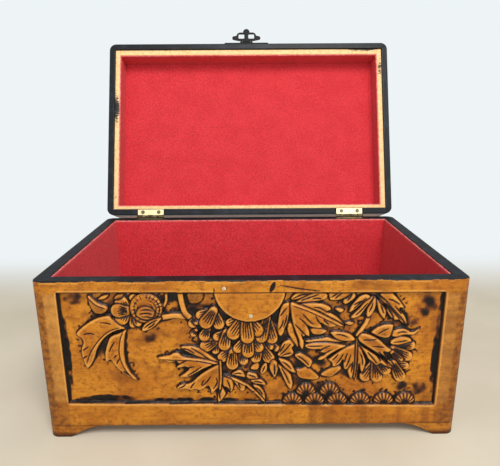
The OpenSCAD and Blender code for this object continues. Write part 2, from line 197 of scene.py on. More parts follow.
def line_distance(x, z, line):
    """Distance to an open line, how far along it the nearest point is, from 0 to 1, and on which side."""
    a, ab = line[:-1], np.diff(line, axis=0)
    px, pz = x.reshape(-1, 1), z.reshape(-1, 1)
    length = np.hypot(ab[:, 0], ab[:, 1]) + 1e-9
    t = np.clip(((px - a[:, 0]) * ab[:, 0] + (pz - a[:, 1]) * ab[:, 1]) / length**2, 0, 1)
    d = np.hypot(px - a[:, 0] - t * ab[:, 0], pz - a[:, 1] - t * ab[:, 1])
    k = d.argmin(1)
    rows = np.arange(len(k))
    start = np.concatenate([[0], np.cumsum(length)[:-1]])
    along = (start[k] + t[rows, k] * length[k]) / length.sum()
    cross = ab[k, 0] * (pz[:, 0] - a[k, 1]) - ab[k, 1] * (px[:, 0] - a[k, 0])
    return d[rows, k].reshape(x.shape), along.reshape(x.shape), np.sign(cross).reshape(x.shape)


def arc(x, z, r, start, end, steps=14):
    """Points along an arc, with the angles in degrees."""
    angles = np.radians(np.linspace(start, end, steps))
    return [(x + r * math.cos(a), z + r * math.sin(a)) for a in angles]


def spoke(x, z, near, far, angle):
    a = math.radians(angle)
    return [(x + r * math.cos(a), z + r * math.sin(a)) for r in (near, (near + far) / 2, far)]


class Carving:
    """The carved field of one board: heights above its sunk ground, dark stain and which part is motif."""

    def __init__(self, half_w, low, high, depth=PANEL_DEPTH, step=0.4):
        self.step = step
        self.x0, self.z0 = -half_w, low
        xs = np.arange(-half_w, half_w + step, step)
        zs = np.arange(low, high + step, step)
        self.x, self.z = np.meshgrid(xs, zs)
        self.depth = depth
        self.lift = depth / PANEL_DEPTH
        self.h = np.zeros_like(self.x)
        self.stain = np.zeros_like(self.x)
        self.motif = np.zeros_like(self.x)
        self.dark = np.zeros_like(self.x)
        self.rim = np.zeros_like(self.x)
        self.place = (0.0, 0.0, 1.0, 1.0)

    def at(self, dx=0.0, dz=0.0, flip=1.0, scale=1.0):
        """Moves, mirrors and scales the motifs that follow."""
        self.place = (dx, dz, flip * scale, scale)
        return self

    def put(self, points):
        dx, dz, sx, sz = self.place
        return np.array(points, float) * (sx, sz) + (dx, dz)

    def window(self, points, margin):
        lo, hi = points.min(0) - margin, points.max(0) + margin
        i0, i1 = int((lo[1] - self.z0) / self.step), int((hi[1] - self.z0) / self.step) + 2
        j0, j1 = int((lo[0] - self.x0) / self.step), int((hi[0] - self.x0) / self.step) + 2
        i0, j0 = max(i0, 0), max(j0, 0)
        return slice(i0, max(i1, i0)), slice(j0, max(j1, j0))

    def lay(self, w, d, height, shade=0.0, trench=0.5):
        """Puts a form on the ground: inside it (d above 0) the new height, around it a dark cut."""
        inside = d > 0
        ring = np.exp(-(np.minimum(d, 0) / 0.7) ** 2)
        h, s, m = self.h[w], self.stain[w], self.motif[w]
        self.h[w] = np.where(inside, height * self.lift,
                             h - trench * ring * (h > 0.3) - 0.3 * trench * ring * (h <= 0.3))
        edge = 0.85 * np.exp(-np.maximum(d, 0) / 0.34)
        self.stain[w] = np.where(inside, np.maximum(edge, shade), np.maximum(s, 0.95 * ring))
        self.motif[w] = np.where(inside, 1.0, m)

    def cut(self, points, width=1.0, depth=0.8, dark=0.95, mask=None, taper=True):
        """A V cut along a line, thin at both ends."""
        line = open_curve(self.put(points))
        w = self.window(line, width + 0.6)
        x, z = self.x[w], self.z[w]
        if not x.size:
            return
        d, t, _ = line_distance(x, z, line)
        half = width / 2 * ((0.35 + 0.65 * np.sin(math.pi * np.clip(t, 0, 1)) ** 0.6) if taper else 1.0)
        v = np.clip(1 - d / half, 0, 1)
        if mask is not None:
            v = v * (mask[w] > 0)
        self.h[w] = self.h[w] - depth * v * min(1.0, abs(self.place[3]))
        self.stain[w] = np.maximum(self.stain[w], dark * smooth(v * 1.7))

    def blade(self, points, top=2.5, cuts=(), ribs=(), shade=0.0):
        """A leaf or leaf finger with a smooth outline, cut veins and raised ribs."""
        outline = closed_curve(self.put(points))
        w = self.window(outline, 2.0)
        x, z = self.x[w], self.z[w]
        if not x.size:
            return
        d = polygon_depth(x, z, outline)
        body = top - 0.75 * (1 - smooth(d)) + 0.22 * (1 - np.exp(-np.maximum(d, 0) / 2.5))
        self.lay(w, d, np.clip(body, 0.35, PANEL_DEPTH - 0.05), shade)
        mark = np.zeros_like(self.h)
        mark[w] = d > 0
        for line in cuts:
            self.cut(line, LEAF_CUT_W, LEAF_CUT_DEPTH, mask=mark)
        for line in ribs:
            self.rib(line, mark)

    def rib(self, points, mask):
        """A raised line with a dark cut along one side and a faint one along the other."""
        line = open_curve(self.put(points))
        w = self.window(line, 2.5)
        x, z = self.x[w], self.z[w]
        if not x.size:
            return
        d, t, side = line_distance(x, z, line)
        inside = mask[w] > 0
        raised = np.clip(1 - (d / RIB_HALF) ** 2, 0, 1)
        beside = np.exp(-((d - RIB_GROOVE) / 0.4) ** 2) * np.where(side < 0, 1.0, 0.25)
        fade = np.clip(np.minimum(t, 1 - t) * 12, 0.15, 1)
        self.h[w] = np.where(inside, self.h[w] + (0.35 * raised - 0.55 * beside) * fade, self.h[w])
        self.stain[w] = np.where(inside, np.maximum(self.stain[w] * (1 - raised), 0.85 * beside * fade),
                                 self.stain[w])

    def petal(self, hub, tip, r, ribs=4, top=2.6):
        """A round-ended petal, nearly as wide at its hub, with ribs cut to where its end swells."""
        a, b = self.put([hub, tip])
        r = r * self.place[3]
        axis = b - a
        length = np.hypot(*axis) + 1e-9
        w = self.window(np.array([a, b]), r + 1.5)
        x, z = self.x[w], self.z[w]
        if not x.size:
            return
        t = np.clip(((x - a[0]) * axis[0] + (z - a[1]) * axis[1]) / length**2, 0, 1)
        radius = r * (0.66 + 0.34 * smooth(t))
        d = radius - np.hypot(x - a[0] - t * axis[0], z - a[1] - t * axis[1])
        body = top - 0.75 * (1 - smooth(d / 1.1)) - 0.45 * (1 - t) + 0.25 * smooth(d / r)
        self.lay(w, d, np.clip(body, 0.3, PANEL_DEPTH - 0.05), trench=0.8)
        mark = np.zeros_like(self.h)
        mark[w] = d > 0
        side = np.array([-axis[1], axis[0]]) / length
        keep = self.place
        self.place = (0.0, 0.0, 1.0, 1.0)
        for k in range(ribs):
            s = (k + 0.5) / ribs * 2 - 1
            near = a + side * s * r * 0.40
            far = a + axis * (1.05 - 0.25 * r / length * s * s) + side * s * r * 0.80
            self.cut([near, (near + far) / 2, far], PETAL_CUT_W, PETAL_CUT_DEPTH, 0.97, mark)
        self.place = keep

    def fan(self, hub, lobes, ribs=4, top=2.6):
        """One petal with a scalloped end: a lobe for each (x, z, radius)."""
        for x, z, r in lobes:
            self.petal(hub, (x, z), r, ribs if r > 3 else max(2, ribs - 1), top)

    def disc(self, x0, z0, r, top):
        (cx, cz), = self.put([(x0, z0)])
        w = self.window(np.array([[cx, cz]]), r + 2)
        x, z = self.x[w], self.z[w]
        if not x.size:
            return
        d = r * self.place[3] - np.hypot(x - cx, z - cz)
        self.lay(w, d, top - 0.9 * (1 - smooth(d / 2.2)))

    def shell(self, x0, z0, w2, h2, ribs=9):
        """A low mound, ribbed like a fan from the middle of its foot."""
        (cx, cz), = self.put([(x0, z0)])
        w2, h2 = w2 * self.place[3], h2 * self.place[3]
        w = self.window(np.array([[cx - w2, cz], [cx + w2, cz + h2]]), 1.5)
        x, z = self.x[w], self.z[w]
        if not x.size:
            return
        rho = np.hypot((x - cx) / w2, (z - cz) / h2)
        d = np.minimum((1 - rho) * min(w2, h2), z - cz + 0.9)
        body = 0.4 + 2.2 * np.sqrt(np.clip(1 - rho**2, 0, 1))
        self.lay(w, d, np.clip(body, 0.3, PANEL_DEPTH - 0.1), 0.42, 0.8)
        angle = np.arctan2(z - cz + 2.0, x - cx)
        groove = np.abs(np.sin(angle * ribs))
        v = np.clip(1 - groove * 1.5, 0, 1) * (d > 0) * smooth((rho - 0.12) * 4) * smooth(d / 0.5)
        crest = smooth((groove - 0.80) * 6) * smooth((rho - 0.35) * 4) * smooth((0.97 - rho) * 12) * (d > 0)
        self.h[w] += 0.25 * crest - 0.6 * v
        foot = smooth((0.48 - rho) * 4) * (d > 0)
        # The rib crests lose their stain and show pale: partly wear, partly a painted glint.
        self.stain[w] = np.maximum(self.stain[w], np.maximum(0.97 * v, 0.9 * foot)) * (1 - 0.85 * crest)

    def stem(self, points, width, top=2.3):
        line = open_curve(self.put(points))
        width = width * self.place[3]
        w = self.window(line, width + 1.5)
        x, z = self.x[w], self.z[w]
        if not x.size:
            return
        d = line_distance(x, z, line)[0]
        body = top * (0.55 + 0.45 * np.sqrt(np.clip(1 - (d / (width / 2)) ** 2, 0, 1)))
        self.lay(w, width / 2 - d, body)

    def frame(self, left, right, low_l, low_r, high_l, high_r):
        """Raises all outside the field to the board's face. The field's low and high edges may slope."""
        u = (self.x - left) / (right - left)
        low = low_l + (low_r - low_l) * u
        high = high_l + (high_r - high_l) * u
        inside = np.minimum(np.minimum(self.x - left, right - self.x),
                            np.minimum(self.z - low, high - self.z))
        self.inside = inside
        self.rise(-inside)

    def rise(self, d):
        """Everything where d is above 0 stands at the board's face, with a dark line at its foot."""
        up = smooth((d + 0.25) / 0.5)
        self.h = self.h * (1 - up) + self.depth * up
        self.motif = np.maximum(self.motif, up)
        self.stain = np.where(d > 0.1, 0.55 * np.exp(-np.maximum(d, 0) / 0.35), self.stain)
        near = np.exp(-(np.clip(-d, 0, None) / 1.0) ** 2)
        self.stain = np.where(d <= 0.1, np.maximum(self.stain, 0.97 * near), self.stain)

    def boss(self, x0, z0, r, top):
        """A flat round boss at the board's face, cut off by the rail's edge at the height top."""
        h, stain = self.h.copy(), self.stain.copy()
        d = r - np.hypot(self.x - x0, self.z - z0)
        self.rise(d)
        rail = self.z > top
        self.h, self.stain = np.where(rail, h, self.h), np.where(rail, stain, self.stain)
        half = math.sqrt(r**2 - (top - z0) ** 2) - 0.4
        self.cut([(x0 - half, top), (x0, top), (x0 + half, top)], 0.7, 0.3, 0.85, taper=False)
        # A pale ring inside the boss's edge, which goes into the wear and painted highlight.
        self.rim = np.where(rail, 0, np.exp(-((d - 0.75) / 0.4) ** 2))

    def soot(self, x0, z0, reach_x, reach_z, strength):
        """A dark ragged patch on the ground."""
        rho = np.hypot((self.x - x0) / reach_x, (self.z - z0) / reach_z)
        self.dark = np.maximum(self.dark, strength * smooth(1.6 * (1 - rho)))

    def finish(self):
        """Hand-cut unevenness, stain in the hollows, and paler wear with a painted highlight on what stands
        up.
        """
        ground = 1 - np.clip(self.motif, 0, 1)
        k = 0.4 / self.step
        lumps = 0.13 * noise_like(self.h, 5 * k) + 0.10 * noise_like(self.h, 2.2 * k)
        self.h = self.h + ground * lumps * 0.9 + (1 - ground) * 0.03 * noise_like(self.h, 3 * k)
        field = self.motif * (self.inside > 0.2)
        near, wide = blurred(field, 4 * k), blurred(field, 9 * k)
        ragged = noise_like(self.h, 3 * k)
        cloud = noise_like(self.h, 9 * k)
        halo = smooth((near - 0.16 + 0.06 * ragged + 0.07 * cloud) * 2.6)
        gap = 0.9 * smooth((wide - 0.30 + 0.05 * ragged + 0.10 * cloud) * 2.2)
        speck = 0.85 * smooth((noise_like(self.h, 1.2 * k) - 0.8) * 1.3) * smooth((wide - 0.04) * 4)
        border = smooth(1.0 - self.inside / np.clip(2.0 + 1.2 * cloud + 0.9 * ragged, 0.8, 6))
        soot = np.clip(self.dark * (0.9 + 0.35 * ragged), 0, 1)
        ground_stain = np.maximum.reduce([halo, gap, speck, border, soot])
        self.stain = np.clip(np.maximum(self.stain, ground * ground_stain), 0, 1)
        # Paler colour on what stands proud: partly wear, partly a painted highlight along the crests.
        proud = self.h - blurred(self.h, 3 * k)
        self.worn = np.clip(np.maximum(smooth((proud - 0.12) * 1.6), self.rim) * (1 - self.stain), 0, 1)
        self.shade = 0.5 + 0.5 * np.clip(0.5 * noise_like(self.h, 14 * k) + 0.5 * noise_like(self.h, 5 * k),
                                         -1.6, 1.6) / 1.6

    def sample(self, x, z):
        """Height below the board's face, stain, wear with painted highlight, and shade at points of the
        board.
        """
        u = np.clip((x - self.x0) / self.step, 0, self.h.shape[1] - 1.001)
        v = np.clip((z - self.z0) / self.step, 0, self.h.shape[0] - 1.001)
        i, j = v.astype(int), u.astype(int)
        fu, fv = u - j, v - i
        out = []
        for a in (self.h - self.depth, self.stain, self.worn, self.shade):
            out.append(a[i, j] * (1 - fu) * (1 - fv) + a[i, j + 1] * fu * (1 - fv)
                       + a[i + 1, j] * (1 - fu) * fv + a[i + 1, j + 1] * fu * fv)
        return out


# ---------------------------------------------------------------- motifs, in millimetres on the front board


def chrysanthemum(c):
    """The big flower under the boss: rows of round-ended petals, the outer rows first."""
    rows = [
        ((-13.5, 64), [(-19, 60, 4.0)]),
        ((-12.5, 63), [(-13, 54.5, 4.3)]),
        ((-7, 62), [(-5.5, 57, 3.4)]),
        ((-24, 71), [(-24, 64.5, 2.7), (-30, 68, 4.4)]),
        ((9, 71), [(16, 66, 2.6), (12, 67, 2.6)]),
        ((5, 69), [(11.3, 58.7, 4.1), (2.7, 58.6, 3.6)]),
        ((-2, 75), [(4.5, 66.5, 3.6), (-9, 66, 3.6), (-2.5, 63.2, 4.2)]),
        ((-16.5, 77.5), [(-22.5, 74.5, 3.2), (-18, 68.6, 4.2)]),
        ((-29, 80), [(-31, 75, 3.8)]),
        ((-36.5, 79), [(-38, 76.8, 2.4)]),
        ((-36, 88), [(-38.3, 84, 3.2), (-35.5, 85.5, 2.6)]),
        ((10, 88), [(14.3, 80, 3.0), (13.2, 73.2, 4.1), (6.3, 73.8, 4.0)]),
        ((-4, 90), [(-14.3, 84.5, 3.0), (3.3, 79, 4.6), (-12, 76.8, 4.6), (-2.8, 74, 4.6)]),
        ((-24.5, 93), [(-33, 90, 3.4), (-21.3, 83.5, 3.9), (-29.6, 84.8, 4.6)]),
    ]
    for hub, lobes in rows:
        c.fan(hub, lobes)


def right_flower(c):
    """The half-hidden flower at the right, behind the middle leaf."""
    for hub, lobes in [
        ((93, 66), [(104.7, 67.3, 3.4)]),
        ((93, 64.5), [(102.8, 59.5, 3.9)]),
        ((93, 62), [(98, 56.5, 2.8)]),
        ((94, 54), [(102, 52.5, 2.9), (99.3, 44.2, 4.1)]),
        ((82, 56), [(76, 45, 4.3), (83.5, 44.3, 4.2)]),
        ((83, 56), [(89.5, 49, 3.6)]),
    ]:
        c.fan(hub, lobes)


def round_bloom(c):
    """The round bloom at the left with its fanned bud."""
    c.fan((-80, 93), [(-83.5, 99, 4.6), (-84.2, 87.5, 4.6), (-86, 93.4, 5.0)], ribs=5, top=2.0)
    c.fan((-76.5, 91), [(-77, 83.6, 2.7), (-73.6, 84.5, 2.7)], ribs=3, top=2.0)
    c.fan((-70, 97), [(-75.6, 102, 3.0), (-70, 104.3, 3.0)], ribs=2, top=1.9)
    c.disc(-67.8, 95.0, 10.6, 2.45)
    for bend in (8.2, 6.0, 3.9):
        c.cut(arc(-67.3, 94.6, bend, 200 - 8 * bend, 420 + 4 * bend), 1.0, 0.9)
    for angle in range(-55, 95, 16):
        c.cut(spoke(-67.3, 94.6, 6.6, 9.9, angle), 0.8, 0.5)
    for angle in range(115, 250, 17):
        c.cut(spoke(-67.3, 94.6, 7.0, 10.0, angle), 0.8, 0.5)
    c.blade([(-74.5, 90.5), (-73.5, 94), (-70.5, 96.5), (-66.5, 96.5), (-62.5, 93.5), (-62.7, 90),
             (-66, 87.3),
             (-71, 87.8)], 2.75,
            [[(-71.5, 93.8), (-67, 94.4), (-63.6, 93.3)], [(-72, 91.4), (-67.5, 91.8), (-63.6, 91)],
             [(-70.8, 89.2), (-67.3, 89.3), (-64.4, 88.7)]])


def bud_leaves(c):
    """The two long curved leaves that hang at the left, and the sprigs near the bloom."""
    c.blade([(-99, 100.8), (-95, 104), (-91, 104.3), (-94, 101)], 1.2)
    c.blade([(-88.5, 101), (-86, 104.5), (-81.5, 105), (-83.5, 102)], 1.3)
    c.blade([(-104.9, 104), (-104.5, 98), (-103, 94), (-100.5, 91), (-95.5, 91.2), (-92.3, 94.5), (-93.5, 97),
             (-98, 98.7), (-102, 102.5)], 1.5, ribs=[[(-104, 103), (-99.5, 98), (-93.5, 95.5)]], shade=0.25)
    c.blade([(-81, 80.5), (-86, 84), (-90, 88), (-92, 90.3), (-99, 89), (-105, 86), (-110.5, 82),
             (-114.6, 77.3),
             (-111.4, 74.3), (-110.5, 71), (-112.2, 66), (-112, 60), (-109.3, 52), (-104.5, 58), (-101.5, 66),
             (-97, 73), (-92, 77.5), (-86, 80.3)], 2.5,
            [[(-98.5, 85.2), (-95, 85.3), (-91, 84.3)], [(-109.5, 77.2), (-105.5, 77.9), (-102, 77)],
             [(-111, 65.6), (-109, 67), (-107, 68.3)], [(-111.3, 59.6), (-109.7, 61), (-108.3, 61.6)]],
            [[(-84, 81.3), (-92, 78.6), (-99, 72.5), (-105, 64), (-108.8, 54.5)]])
    c.blade([(-81.2, 80.5), (-86, 78), (-92, 75.5), (-94.5, 71), (-96.7, 64), (-97, 58.5), (-96, 56.8),
             (-93.5, 58.3), (-91.5, 55), (-87.5, 50), (-82, 45.3), (-76.2, 42.6), (-80, 48), (-83, 55),
             (-83.9, 63), (-83.4, 70), (-82.2, 77)], 2.6,
            [[(-93.8, 64.5), (-91.8, 68.5), (-89.5, 72)], [(-91, 60), (-90, 61.2), (-88.8, 62.2)],
             [(-89.5, 55.6), (-88.6, 57.6), (-87.4, 59.6)], [(-85.6, 50.6), (-84, 49), (-82, 47.2)]],
            [[(-82.3, 79.5), (-85, 73), (-86.3, 64), (-85, 56), (-82, 49.5), (-78, 44.3)]])
    c.blade([(-71.7, 78.7), (-69.5, 84), (-64, 87.2), (-58, 88.5), (-61, 84), (-66, 80)], 2.2,
            [[(-70, 81), (-65.5, 84.6), (-61, 86.8)], [(-67.5, 81), (-64.5, 83), (-62.5, 85)]])


def branches(c):
    c.stem([(-59, 88.3), (-50, 89.6), (-41, 88.6)], 4.0)
    c.stem([(-46, 107), (-44.6, 98), (-43, 92), (-39.5, 88)], 4.0)
    c.stem([(-54.5, 107), (-55, 99), (-58.5, 94)], 2.2, 1.3)
    c.blade([(-41.5, 104.8), (-38, 105.5), (-31, 105), (-31.5, 100), (-35.5, 97.5), (-40, 98.3)], 1.3,
            shade=0.35)
    c.stem([(76, 89), (74.5, 84), (72, 79.5), (69.3, 75)], 3.2)
    c.blade([(53.5, 93.5), (56, 94.5), (60, 93), (57.5, 90.5)], 1.7)
    c.blade([(60, 83.5), (63.5, 84.7), (67, 83.5), (64, 81.6)], 1.7)
    c.blade([(38, 79.5), (43.5, 80), (49.5, 78), (46, 75.3), (40, 75.5)], 1.5)


def low_left_leaf(c):
    """The wide lobed leaf below the chrysanthemum."""
    c.blade([(-14, 47), (-10, 50), (-7, 50), (-5, 47.5), (-4.3, 44.3), (-8, 45), (-12, 46)], 2.2,
            [[(-12.5, 47), (-9, 47.8), (-6.3, 47)]])
    c.blade([(-3.9, 44.8), (-3, 48.3), (-0.5, 48.3), (3.2, 47), (4, 45), (5.2, 42.8), (1, 42.3), (-2, 43)],
            2.1,
            [[(-2.5, 46.7), (0, 45.6), (2.5, 44.8)]])
    c.blade([(-1.2, 42.4), (4, 43.2), (6.7, 42.7), (8.7, 40.6), (9.8, 38.2), (5, 39.1), (1.5, 39.6)], 2.3,
            [[(1, 41.2), (4.5, 41.2), (7.5, 40.2)]])
    c.blade([(0.3, 38.8), (4.5, 38.2), (7.3, 35), (8.9, 31), (9.1, 26.3), (5.5, 31.5), (2.3, 35.6)], 2.2,
            [[(2.5, 37), (5.3, 34.6), (7.4, 31)]])
    c.blade([(-21, 46.8), (-12, 44.6), (-8, 42.5), (-4, 40), (-0.5, 37.2), (3, 33.4), (7, 28.5), (9.4, 24.8),
             (6, 26.8), (3.5, 30.2), (0.5, 31.8), (-2.5, 35.7), (-4, 38.3), (-5, 34.4), (-7.5, 34),
             (-9.5, 36.2),
             (-11, 39.5), (-15, 43)], 2.4,
            [[(-9.3, 41), (-8.5, 38.3), (-7.8, 35.5)], [(2.4, 33.6), (1, 33.6), (-0.6, 33)]],
            [[(-20.5, 46.3), (-12, 43.3), (-4, 39), (2, 33.8), (8, 26.8)]])
    c.blade([(-20, 45), (-17, 44.8), (-13.5, 43), (-12.3, 39), (-12.8, 35.5), (-14.2, 32.8), (-15.5, 35.3),
             (-17, 36.8), (-19.5, 38), (-20, 41)], 2.3, [[(-16.8, 43), (-15.4, 39.5), (-14.4, 35.6)]])
    c.blade([(-20.6, 38), (-22.6, 33.5), (-23.5, 29), (-23, 25.2), (-20, 27.8), (-17.6, 31.8), (-18.3, 34.5),
             (-19.6, 37)], 2.2, [[(-20.8, 35.5), (-22, 31.5), (-21.4, 28)]])
    c.blade([(-22, 54.3), (-28, 51.6), (-33, 48.2), (-37, 44.8), (-40, 41.8), (-44, 40), (-48, 39.7),
             (-50.8, 36.8), (-49, 35.5), (-45, 35.9), (-41.5, 35), (-38, 35.7), (-35.3, 34.9), (-32.5, 36.1),
             (-29.5, 38.2), (-28, 34.7), (-27.8, 31.8), (-25.5, 33.7), (-23.5, 36.2), (-21.1, 37.2),
             (-20.6, 45), (-21, 50)], 2.5,
            [[(-49.3, 36.8), (-47, 37.8), (-44.6, 39.4)], [(-38.3, 41.2), (-40, 39.3), (-41.2, 36.8)],
             [(-27.3, 46.3), (-30, 42), (-33.7, 38.2)], [(-23.9, 45), (-23.4, 41), (-26, 36.2)],
             [(-32, 43), (-33.1, 41.5), (-33.9, 39)]])
    c.blade([(-21.2, 55.8), (-27, 61), (-34, 66.3), (-40, 68.3), (-47, 67.6), (-44, 64.6), (-38, 61.2),
             (-30, 57.6), (-24, 55.3)], 2.3, [[(-45, 66.5), (-42, 65.5), (-37.5, 62.6)],
                                              [(-40, 67), (-34, 62.9), (-28, 58.3)]])
    c.blade([(-22, 55.4), (-30, 58.4), (-36, 59.3), (-42, 60), (-46, 61.2), (-48, 63.2), (-51.5, 63.5),
             (-54.5, 61.7), (-62.8, 60), (-58, 57.3), (-54, 56.3), (-50, 56.8), (-49, 54.5), (-50.6, 52.1),
             (-47, 52.3), (-44.5, 52.9), (-42, 51.3), (-45, 48.3), (-48.8, 45.2), (-44, 45), (-40.5, 46.2),
             (-37, 48.3), (-32, 51.3), (-26, 54)], 2.6,
            [[(-49.7, 53.9), (-46.7, 55.9), (-43.2, 57.6)], [(-46.5, 50.6), (-42, 52.3), (-37.5, 53.3)],
             [(-43, 46.5), (-38, 49.7), (-33.5, 53)], [(-37, 57.6), (-32, 56.2), (-27.5, 55.6)]],
            [[(-61, 59.6), (-50, 59), (-40, 58.6), (-30, 56.8), (-23, 55.2)]])
    c.stem([(-20.9, 57), (-20.7, 50), (-20.8, 43), (-21.6, 36)], 1.7, 2.8)


def centre_right_leaf(c):
    """The pointed lobed leaf that leaves the boss at its right."""
    c.blade([(49.5, 104.8), (49.8, 101), (51, 99.3), (56, 99.6), (60, 101.3), (63.5, 104), (64, 105.8),
             (55, 105.8)], 1.9, [[(51, 101.6), (53, 103), (55, 104.5)],
                                 [(53.4, 100.6), (55.4, 102.6), (57.4, 104.2)]])
    c.blade([(25, 100.5), (27, 103.7), (30, 105.3), (36, 105.6), (41, 105.5), (34, 101.8), (28, 100)], 2.0,
            [[(26.5, 101), (31, 103.2), (36, 104.2)]])
    c.blade([(24, 84), (23, 79.5), (24.5, 74.5), (27.5, 70), (30.7, 65.5), (30.3, 71), (28, 77), (26.5, 83)],
            1.8)
    c.blade([(24.3, 98.5), (20, 97.3), (18, 92), (17, 86), (16.6, 80), (17.3, 76), (19, 74.5), (21, 77),
             (21.7, 80), (23.2, 84), (24, 88), (24.8, 94)], 2.4,
            [[(22.8, 94.8), (20.3, 92), (18.6, 89)], [(20.5, 86.6), (19.7, 83), (17.7, 79.5)],
             [(22.8, 90), (22, 85.5), (20.6, 81)]])
    c.blade([(28, 98.4), (33, 101.6), (38, 104), (42, 105.4), (47.7, 104.7), (48.8, 102), (46.7, 100),
             (41, 98.8), (35, 98.2)], 2.2, [[(39, 100.9), (42, 101.2), (45, 100.8)],
                                            [(31.5, 99.5), (37, 101.7), (43, 103.8)]])
    c.blade([(31, 97), (38, 98.2), (43, 98), (47, 97.2), (50.7, 95.1), (51.2, 93), (48.2, 91.6), (51, 91),
             (54.5, 89), (58, 85.7), (61, 81.6), (56, 84.6), (50, 87.6), (44, 91.3), (38, 94)], 2.4,
            [[(39.5, 95.2), (44, 94.5), (48.3, 92)], [(48.7, 89.2), (52.5, 86.3), (57.8, 83)],
             [(42.5, 92.7), (46, 90.4), (49, 88.6)]])
    c.blade([(25, 98.6), (25.2, 91), (26.4, 84.5), (28.4, 78), (30.7, 72), (31.4, 67.5), (33.3, 64.6),
             (34.5, 69), (34, 74), (36, 75), (38, 73.9), (37.7, 78), (36.2, 82.2), (38, 81.3), (42, 80.3),
             (45.8, 80.6), (45, 83.7), (48, 82.1), (51.5, 80.8), (56, 81.7), (61, 81), (56, 84.7),
             (50.5, 87.7), (44, 91.3), (36, 95), (30, 97.4)], 2.7,
            [[(32.7, 91), (36.5, 86.5), (40, 83)], [(41.3, 89), (43.5, 85), (46.3, 82.3)],
             [(28, 83.5), (32, 79), (36.3, 74.3)], [(30.7, 88), (34, 84.8), (37.3, 80.8)],
             [(46.3, 86.6), (48.2, 84.8), (50, 82.8)], [(32.2, 77), (33, 75), (33.6, 72.5)]],
            [[(25.6, 97.8), (30, 96), (37, 93.2), (44, 89.8), (50.5, 86.3), (58.5, 82)]])


def top_right_leaf(c):
    c.blade([(58.5, 98), (60.5, 96.5), (63, 98), (66.7, 101.5), (66, 104.7), (62, 104.7), (59.5, 101.5)], 1.9,
            [[(60.3, 100.2), (61.5, 101.6), (62.7, 103)], [(61.3, 99.2), (63, 101.3), (64.3, 103.6)]])
    c.blade([(64, 88), (66, 86.5), (70, 88.3), (71.5, 90.3), (73, 92.8), (76, 97.3), (78.7, 102.2),
             (76.3, 101.8),
             (73, 98.7), (69, 93.7)], 2.0, [[(67, 89), (70.5, 92.5), (74.5, 97.5)]])
    c.blade([(62.6, 91), (65.5, 92.3), (69, 95.3), (72.5, 98.8), (76.3, 102), (73, 104), (69, 102.3),
             (66, 98.8),
             (63.6, 95)], 2.3, [[(65.6, 96.3), (68, 98), (70.7, 99.2)],
                                [(65.5, 93.8), (69.5, 97.6), (73.5, 101.2)]])
    c.blade([(74, 89), (75.5, 87.6), (78, 89.8), (79.9, 94.5), (80.2, 98.5), (79, 102.3), (76.8, 98),
             (74.3, 93.5)],
            2.3, [[(75.7, 91.5), (77, 94.5), (77.9, 97.8)]])
    c.blade([(80.3, 98.5), (81.2, 93.5), (83, 89.3), (86.2, 85.8), (86.8, 88.5), (87, 92), (84.2, 96.2),
             (81.6, 99.5)], 2.2, [[(82.8, 96.5), (84, 93.7), (85.2, 90.5)]])
    c.blade([(80.7, 102.6), (82.7, 98), (86.3, 95.3), (87.5, 91), (90.5, 86.8), (92.2, 86.1), (92.7, 88),
             (89.6, 94), (85.7, 99.3)], 2.4, [[(84, 98.6), (87.3, 95), (90.4, 89.3)]])
    c.blade([(80.7, 102.4), (86, 96.7), (90, 91.2), (91.5, 88.3), (92.3, 85.5), (95, 85.7), (97.5, 83.7),
             (101.3, 81.3), (97, 87), (92, 93), (87, 98.6)], 2.5, [[(86, 97.5), (91.5, 91.5), (96, 86)]])
    c.blade([(82, 103.2), (84, 105.5), (88.5, 105.5), (92, 102.7), (95.5, 98.7), (98, 95.2), (99, 93.5),
             (95.5, 94), (96.5, 91.8), (99.5, 88), (101.2, 81.9), (96.5, 87.7), (91, 93.7), (86.5, 99)], 2.4,
            [[(87, 100.6), (91, 99.3), (95.3, 96.6)], [(92, 95.7), (94.3, 93), (96.7, 90)]])


